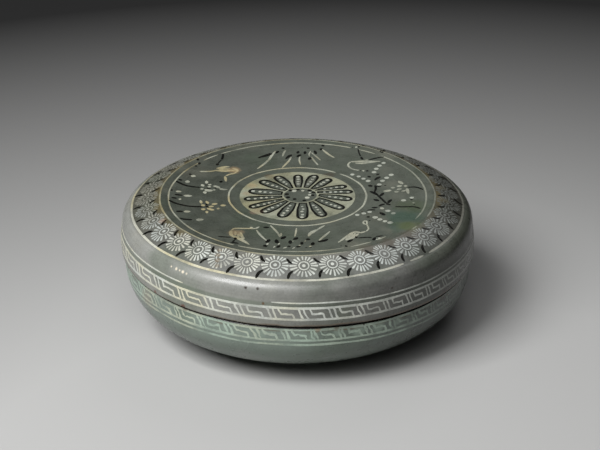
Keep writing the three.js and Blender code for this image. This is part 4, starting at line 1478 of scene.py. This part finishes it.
    def finish(self, colour, bare=None, shine=0.5):
        """Ends the finish: a gloss that varies, bare clay where there is some, and the low waves of a
        thick glaze."""
        dull = self.times(self.ramp(self.mottle, 0.35, 0.65), GLAZE_ROUGHNESS * 0.35)
        gloss = self.plus(dull, GLAZE_ROUGHNESS)
        if bare is not None:
            clay = self.mix(self.ramp(self.mottle, 0.35, 0.65), BARE_CLAY, BARE_DARK)
            colour = self.mix(bare, colour, clay)
            gloss = self.maths("MAXIMUM", gloss, self.times(bare, 0.85))
        relief = self.plus(self.times(self.noise(150, 2), 0.8), self.times(self.grain, 0.12))
        relief = self.minus(relief, self.times(self.craze, 0.05))
        bump = self.node("ShaderNodeBump", {"Strength": 0.4, "Distance": 0.0002, "Height": relief})
        surface = self.node("ShaderNodeBsdfPrincipled", {
            "Base Color": colour, "Roughness": gloss, "IOR": 1.5, "Specular IOR Level": shine,
            "Normal": bump.outputs[0],
        })
        self.node("ShaderNodeOutputMaterial", {0: surface.outputs[0]})
        return self.material


def lid_glazed():
    """Celadon glaze on the lid's clay, bare on the flat of its rim."""
    made = Finish("lid_celadon_glaze")
    colour = made.lid_tone()
    smear = made.near(made.radius, *RIDGE_SMEAR)
    patches = made.plus(made.times(made.ramp(made.noise(36, 5, 0.6), 0.40, 0.58), 0.55), 0.45)
    beside = made.plus(made.times(made.ramp(made.y, *RIDGE_BEHIND), 0.65), 0.2)
    colour = made.mix(made.times(smear, patches, beside), colour, RIDGE_BROWN)
    colour = made.seam_dirtied_and_shaded(made.stained(made.specked(colour), LID_STAINS), LID_SEAM)
    return made.finish(colour, made.ramp(made.level, *BARE_RIM))


def box_glazed():
    """Celadon glaze on the box's clay, bare on the ledge, the lip's top and the foot's edge."""
    made = Finish("box_celadon_glaze")
    colour = made.seam_dirtied_and_shaded(made.stained(made.specked(made.box_tone()), BOX_STAINS), BOX_SEAM)
    ledge = made.times(made.ramp(made.level, *BARE_LEDGE), made.ramp(made.radius, *BARE_LEDGE_RADIUS))
    return made.finish(colour, made.maths("MAXIMUM", ledge, made.ramp(made.height, *BARE_FOOT)))


def slip(name, cool, warm, veil, patchy=0.5, aside=0.0, on_lid=True, stain=0.6, shine=0.5):
    """Slip laid in a cut and glazed over, with the stains of the glaze about it. It has a cool and a warm
    tone, a veil of glaze all over, a patchy one, one away from the front, and a strength of its stains."""
    made = Finish(name + "_slip_under_glaze")
    tone = made.lid_tone() if on_lid else made.box_tone()
    colour = made.specked(made.slip_laid(tone, linear(*cool), linear(*warm), veil, patchy, aside))
    colour = made.stained(colour, LID_STAINS if on_lid else BOX_STAINS, stain)
    return made.finish(colour, shine=shine)


lid_glaze = lid_glazed()
box_glaze = box_glazed()
line_slip = slip("line", (200, 200, 186), (196, 190, 158), 0.06, aside=0.35)
field_slip = slip("field", (172, 174, 158), (172, 162, 124), 0.1)
ridge_slip = slip("ridge", (168, 170, 154), (148, 140, 108), 0.12)
medallion_slip = slip("medallion", (160, 163, 143), (150, 146, 112), 0.12)
white_slip = slip("white", (194, 200, 195), (198, 198, 184), 0.06, aside=0.62, stain=0.7)
bud_slip = slip("bud", (176, 180, 168), (184, 182, 160), 0.06, patchy=0.3)
fret_slip = slip("fret", (200, 204, 196), (203, 201, 178), 0.08, patchy=0.5)
green_slip = slip("box", (168, 186, 170), (180, 186, 166), 0.16, patchy=0.6, on_lid=False)
black_slip = slip("black", (9, 10, 8), (13, 12, 8), 0.0, patchy=0.03, stain=0.12, shine=0.2)


# The pieces

COPIES_IN_RING = copies_tree("copies_in_ring", in_ring=True)
COPIES_IN_ROW = copies_tree("copies_in_row", in_ring=False)
DOTS_ON_POINTS = dots_tree()
LAID_ON_TOP = draped_tree("laid_on_top", round_side=False)
BENT_ROUND_SIDE = draped_tree("bent_round_side", round_side=True)

# How far a plate may be from the surface that it is laid on, in metres
REACH = 0.2


def settled(piece, body, slot, *nodes, finish=None):
    """The piece rides on its half, in place of the CAD pieces named."""
    if finish:
        piece.data.materials.append(finish)
    for polygon in piece.data.polygons:
        polygon.use_smooth = True
    piece.data.set_sharp_from_angle(angle=SHARP_ANGLE)
    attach(piece, body)
    if nodes:
        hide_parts(*nodes)
    return piece


def on_top(piece, finish, slot, *nodes, stages=()):
    """Lays a flat drawing on the lid's top."""
    grown(piece, *stages, (LAID_ON_TOP, {"Surface": lid_cover, "Reach": REACH, "Finish": finish}))
    return settled(piece, "lid", slot, *nodes)


def key_fret(name, node, body, surface, wall, lines, finish, stroke, wobble, wander, unevenness, spacing):
    """A key fret round an upright wall, with the two lines that it runs between."""
    low, high = lines
    drawn_radius = wall(low)
    pitch = 2 * math.pi * drawn_radius / FRET_UNITS
    turned_by, crowded_right, crowded_front = [math.radians(angle) for angle in spacing]
    fret = drawing(name, (add_fret_unit, pitch, low, high, stroke))
    grown(
        fret,
        (COPIES_IN_ROW, {
            "Copies": FRET_UNITS, "Pitch": pitch * MM, "Turn Jitter": 0.0, "Size Jitter": 0.0,
            "Place Jitter": FRET_PLACE_JITTER, "Seed": FRET_SEED, "Finish": finish,
        }),
        (BENT_ROUND_SIDE, {
            "Surface": surface, "Reach": REACH, "Drawn Radius": drawn_radius * MM, "Finish": finish,
            "Wobble": wobble, "Rise": WARP_RISE * MM, "Tilt": WARP_TILT * MM, "Turned": turned_by,
            "Crowded Right": crowded_right, "Crowded Front": crowded_front,
        }),
    )
    settled(fret, body, "pale_slip", node)
    for edge, height in (("upper", high), ("lower", low)):
        line = drawing(f"{name}_{edge}_line", (
            add_wall_line, wall, height, FRET_LINE, wander, round(height), (), unevenness,
        ))
        settled(line, body, "pale_slip", finish=finish)


def band_copies(piece, finish, slot, count, first_turn, jitter, seed):
    """Repeats a flat drawing round the band on the lid's top, from a first turn in degrees."""
    turn_jitter, size_jitter, place_jitter = jitter
    on_top(piece, finish, slot, stages=[(COPIES_IN_RING, {
        "Copies": count, "Radius": BLOSSOM_PLACE * MM, "First Turn": math.radians(first_turn),
        "Turn Jitter": turn_jitter, "Size Jitter": size_jitter, "Place Jitter": place_jitter,
        "Seed": seed, "Finish": finish,
    })])


box_bowl = turned("box_bowl", box_outline())
settled(box_bowl, "box", "celadon_glaze", "box_body", finish=box_glaze)
lid_cover = turned("lid_cover", lid_outline())
settled(lid_cover, "lid", "celadon_glaze", "lid_shell", finish=lid_glaze)

# Lines round the top and the walls
for name, node, radius, width, breaks, finish in (
    ("band_line", "band_outer_ring", SHOULDER_RADIUS, BAND_LINE_WIDTH, BAND_LINE_BREAKS, line_slip),
    ("ridge_line", "field_outer_ring", FIELD_RADIUS, RIDGE_LINE_WIDTH, RIDGE_LINE_BREAKS, ridge_slip),
    ("field_line", "field_inner_ring", FIELD_LINE_RADIUS, RIDGE_LINE_WIDTH, FIELD_LINE_BREAKS, ridge_slip),
    (
        "medallion_line", "medallion_ring", MEDALLION_RING_RADIUS, MEDALLION_LINE_WIDTH,
        MEDALLION_LINE_BREAKS, field_slip,
    ),
):
    ring = drawing(name, (add_ring, radius, width, TOP_WANDER, round(radius), breaks))
    on_top(ring, finish, "pale_slip", node)

line = drawing("lid_line", (
    add_wall_line, side_radius, LID_LINE_HEIGHT, LID_LINE_WIDTH, LID_WANDER, round(LID_LINE_HEIGHT),
    LID_LINE_BREAKS, LINE_UNEVENNESS, LID_LINE_LEAN,
))
settled(line, "lid", "pale_slip", "lid_upper_line", finish=fret_slip)
line = drawing("box_line", (
    add_wall_line, bowl_radius, BOX_LINE_HEIGHT, FRET_LINE, BOX_LINE_WANDER, round(BOX_LINE_HEIGHT), (),
    BOX_UNEVENNESS,
))
settled(line, "box", "pale_slip", "box_lower_line", finish=green_slip)

key_fret(
    "lid_key_fret", "lid_fret_band", "lid", lid_cover, side_radius, LID_FRET, fret_slip,
    stroke=LID_FRET_STROKE, wobble=LID_WOBBLE, wander=LID_WANDER, unevenness=LINE_UNEVENNESS,
    spacing=LID_FRET_SPACING,
)
key_fret(
    "box_key_fret", "box_fret_band", "box", box_bowl, bowl_radius, BOX_FRET, green_slip,
    stroke=BOX_FRET_STROKE, wobble=BOX_WOBBLE, wander=BOX_WANDER, unevenness=BOX_UNEVENNESS,
    spacing=BOX_FRET_SPACING,
)

# Blossom band: each kind of blossom takes every fifth place, and a comma and a tick stand in each gap
kinds = len(BLOSSOM_PETALS)
for kind in range(kinds):
    blossoms = drawing(f"band_blossoms_{kind + 1}", (add_blossom, kind))
    first_turn = FIRST_BLOSSOM + kind * 360 / BLOSSOMS
    band_copies(blossoms, white_slip, "pale_slip", BLOSSOMS // kinds, first_turn, BLOSSOM_JITTER, kind)
for name, stroke, seed in (
    ("band_outer_commas", BAND_COMMA, COMMA_SEED), ("band_inner_ticks", BAND_TICK, TICK_SEED),
):
    ticks = drawing(name, (add_strokes, [stroke], 1.0, BLACK_LIFT))
    first_turn = FIRST_BLOSSOM + 180 / BLOSSOMS
    band_copies(ticks, black_slip, "black_slip", BLOSSOMS, first_turn, TICK_JITTER, seed)

# Flower in the middle
on_top(drawing("medallion_disc", (add_medallion_ground,)), medallion_slip, "pale_slip", "medallion_ground")
outlines = [f"petal_outline_{i + 1:02d}" for i in range(len(PETALS))]
on_top(drawing("petal_outlines", (add_petal_outlines,)), black_slip, "black_slip", *outlines)

# Dots are one small plate set on many points
dot = drawing("dot", (add_plate, [circle(1, DOT_SIDES)]))
for name, places, finish, slot, lift, *nodes in (
    ("petal_dots", petal_buds(), bud_slip, "pale_slip", 0.0),
    ("eye_buds", EYE_BUDS, bud_slip, "pale_slip", 0.0),
    ("eye_dots", EYE_DOTS, black_slip, "black_slip", BLACK_LIFT, "medallion_core"),
    ("willow_buds", WILLOW_BUDS, bud_slip, "pale_slip", 0.0),
):
    on_top(drawing(name, (add_points, places, lift)), finish, slot, *nodes, stages=[(DOTS_ON_POINTS, {
        "Dot": dot, "Size Jitter": DOT_JITTER, "Seed": DOT_SEED, "Finish": finish,
    })])
bpy.data.objects.remove(dot)

# Cranes, reeds and sprays
for name, pale, spread, black in (
    ("front_left_crane", FRONT_LEFT_CRANE, PALE_SPREAD, FRONT_LEFT_CRANE_BLACK),
    ("front_right_crane", FRONT_RIGHT_CRANE, PALE_SPREAD, FRONT_RIGHT_CRANE_BLACK),
    ("top_right_crane", TOP_RIGHT_CRANE, PALE_SPREAD, TOP_RIGHT_CRANE_BLACK),
    ("top_left_crane", TOP_LEFT_CRANE, PALE_SPREAD, TOP_LEFT_CRANE_BLACK),
    ("front_reeds", FRONT_REEDS, PALE_SPREAD, FRONT_REEDS_BLACK),
    ("top_reeds", TOP_REEDS, PALE_SPREAD, TOP_REEDS_BLACK),
    ("left_sprays", LEFT_SPRAYS, SPRAY_SPREAD, LEFT_SPRAYS_BLACK),
    ("right_willow", RIGHT_BLOSSOM, SPRAY_SPREAD, RIGHT_WILLOW_BLACK),
):
    on_top(drawing(name, (add_strokes, pale, spread)), field_slip, "pale_slip")
    on_top(drawing(f"{name}_black", (add_strokes, black, BLACK_SPREAD, BLACK_LIFT)), black_slip, "black_slip")


# Studio: a pale floor with painted shade far off, a soft lamp high on the left, and weak ones in front
# and behind

FLOOR_PALE = linear(178, 178, 177)
FLOOR_PAINTED_SHADE = linear(46, 46, 46)
FLOOR_MIDDLE = (0.05, -0.2, 0.0)
FLOOR_SHADE = (0.215, 0.71)
LAMP_SIZE = 0.8
LAMP_AIM = (0, 0, 0.03)
SKY_STRENGTH = 0.06
CAMERA_PLACE = (0.0, -0.94733, 0.50725)
CAMERA_AIM = (0.00122559, 0.90070937, -0.43442046)
CAMERA_ROLL = math.radians(-0.172)
CAMERA_LENS = 119.46

bm = bmesh.new()
bmesh.ops.create_grid(bm, x_segments=1, y_segments=1, size=6)
floor = as_object("studio_floor", bm)
floor_paint = empty_material("studio_floor")
paper = Nodes(floor_paint.node_tree)
place = paper.node("ShaderNodeTexCoord").outputs["Object"]
# Painted shade: the floor darkens with distance from a point beside the box.
shade = paper.ramp(paper.vectors("DISTANCE", place, FLOOR_MIDDLE), *FLOOR_SHADE, shape="LINEAR")
surface = paper.node("ShaderNodeBsdfPrincipled", {
    "Base Color": paper.mix(shade, FLOOR_PALE, FLOOR_PAINTED_SHADE), "Roughness": 0.9, "Specular IOR Level": 0.1,
})
paper.node("ShaderNodeOutputMaterial", {0: surface.outputs[0]})
floor.data.materials.append(floor_paint)

# Soft square lamps that face the box
for name, place, power in (
    ("key_softbox", (-0.68, -0.68, 1.15), 27),
    ("front_softbox", (-0.12, -0.95, 1.15), 4.9),
    ("back_softbox", (0.33, 0.91, 1.15), 2.1),
):
    light = bpy.data.lights.new(name, "AREA")
    light.shape = "SQUARE"
    light.size = LAMP_SIZE
    light.energy = power
    lamp = bpy.data.objects.new(name, light)
    lamp.location = place
    lamp.rotation_euler = (Vector(LAMP_AIM) - Vector(place)).to_track_quat("-Z", "Y").to_euler()
    bpy.context.scene.collection.objects.link(lamp)

scene = bpy.context.scene
scene.view_settings.view_transform = "Standard"
world = bpy.data.worlds.new("studio")
world.use_nodes = True
world.node_tree.nodes["Background"].inputs["Color"].default_value = (0.5, 0.5, 0.5, 1)
world.node_tree.nodes["Background"].inputs["Strength"].default_value = SKY_STRENGTH
scene.world = world

camera = bpy.data.objects.new("camera", bpy.data.cameras.new("camera"))
camera.data.lens = CAMERA_LENS
camera.data.sensor_width = 36
camera.location = CAMERA_PLACE
level = Vector(CAMERA_AIM).to_track_quat("-Z", "Y").to_matrix()
camera.rotation_euler = (level @ Matrix.Rotation(CAMERA_ROLL, 3, "Z")).to_euler()
scene.collection.objects.link(camera)
scene.camera = camera
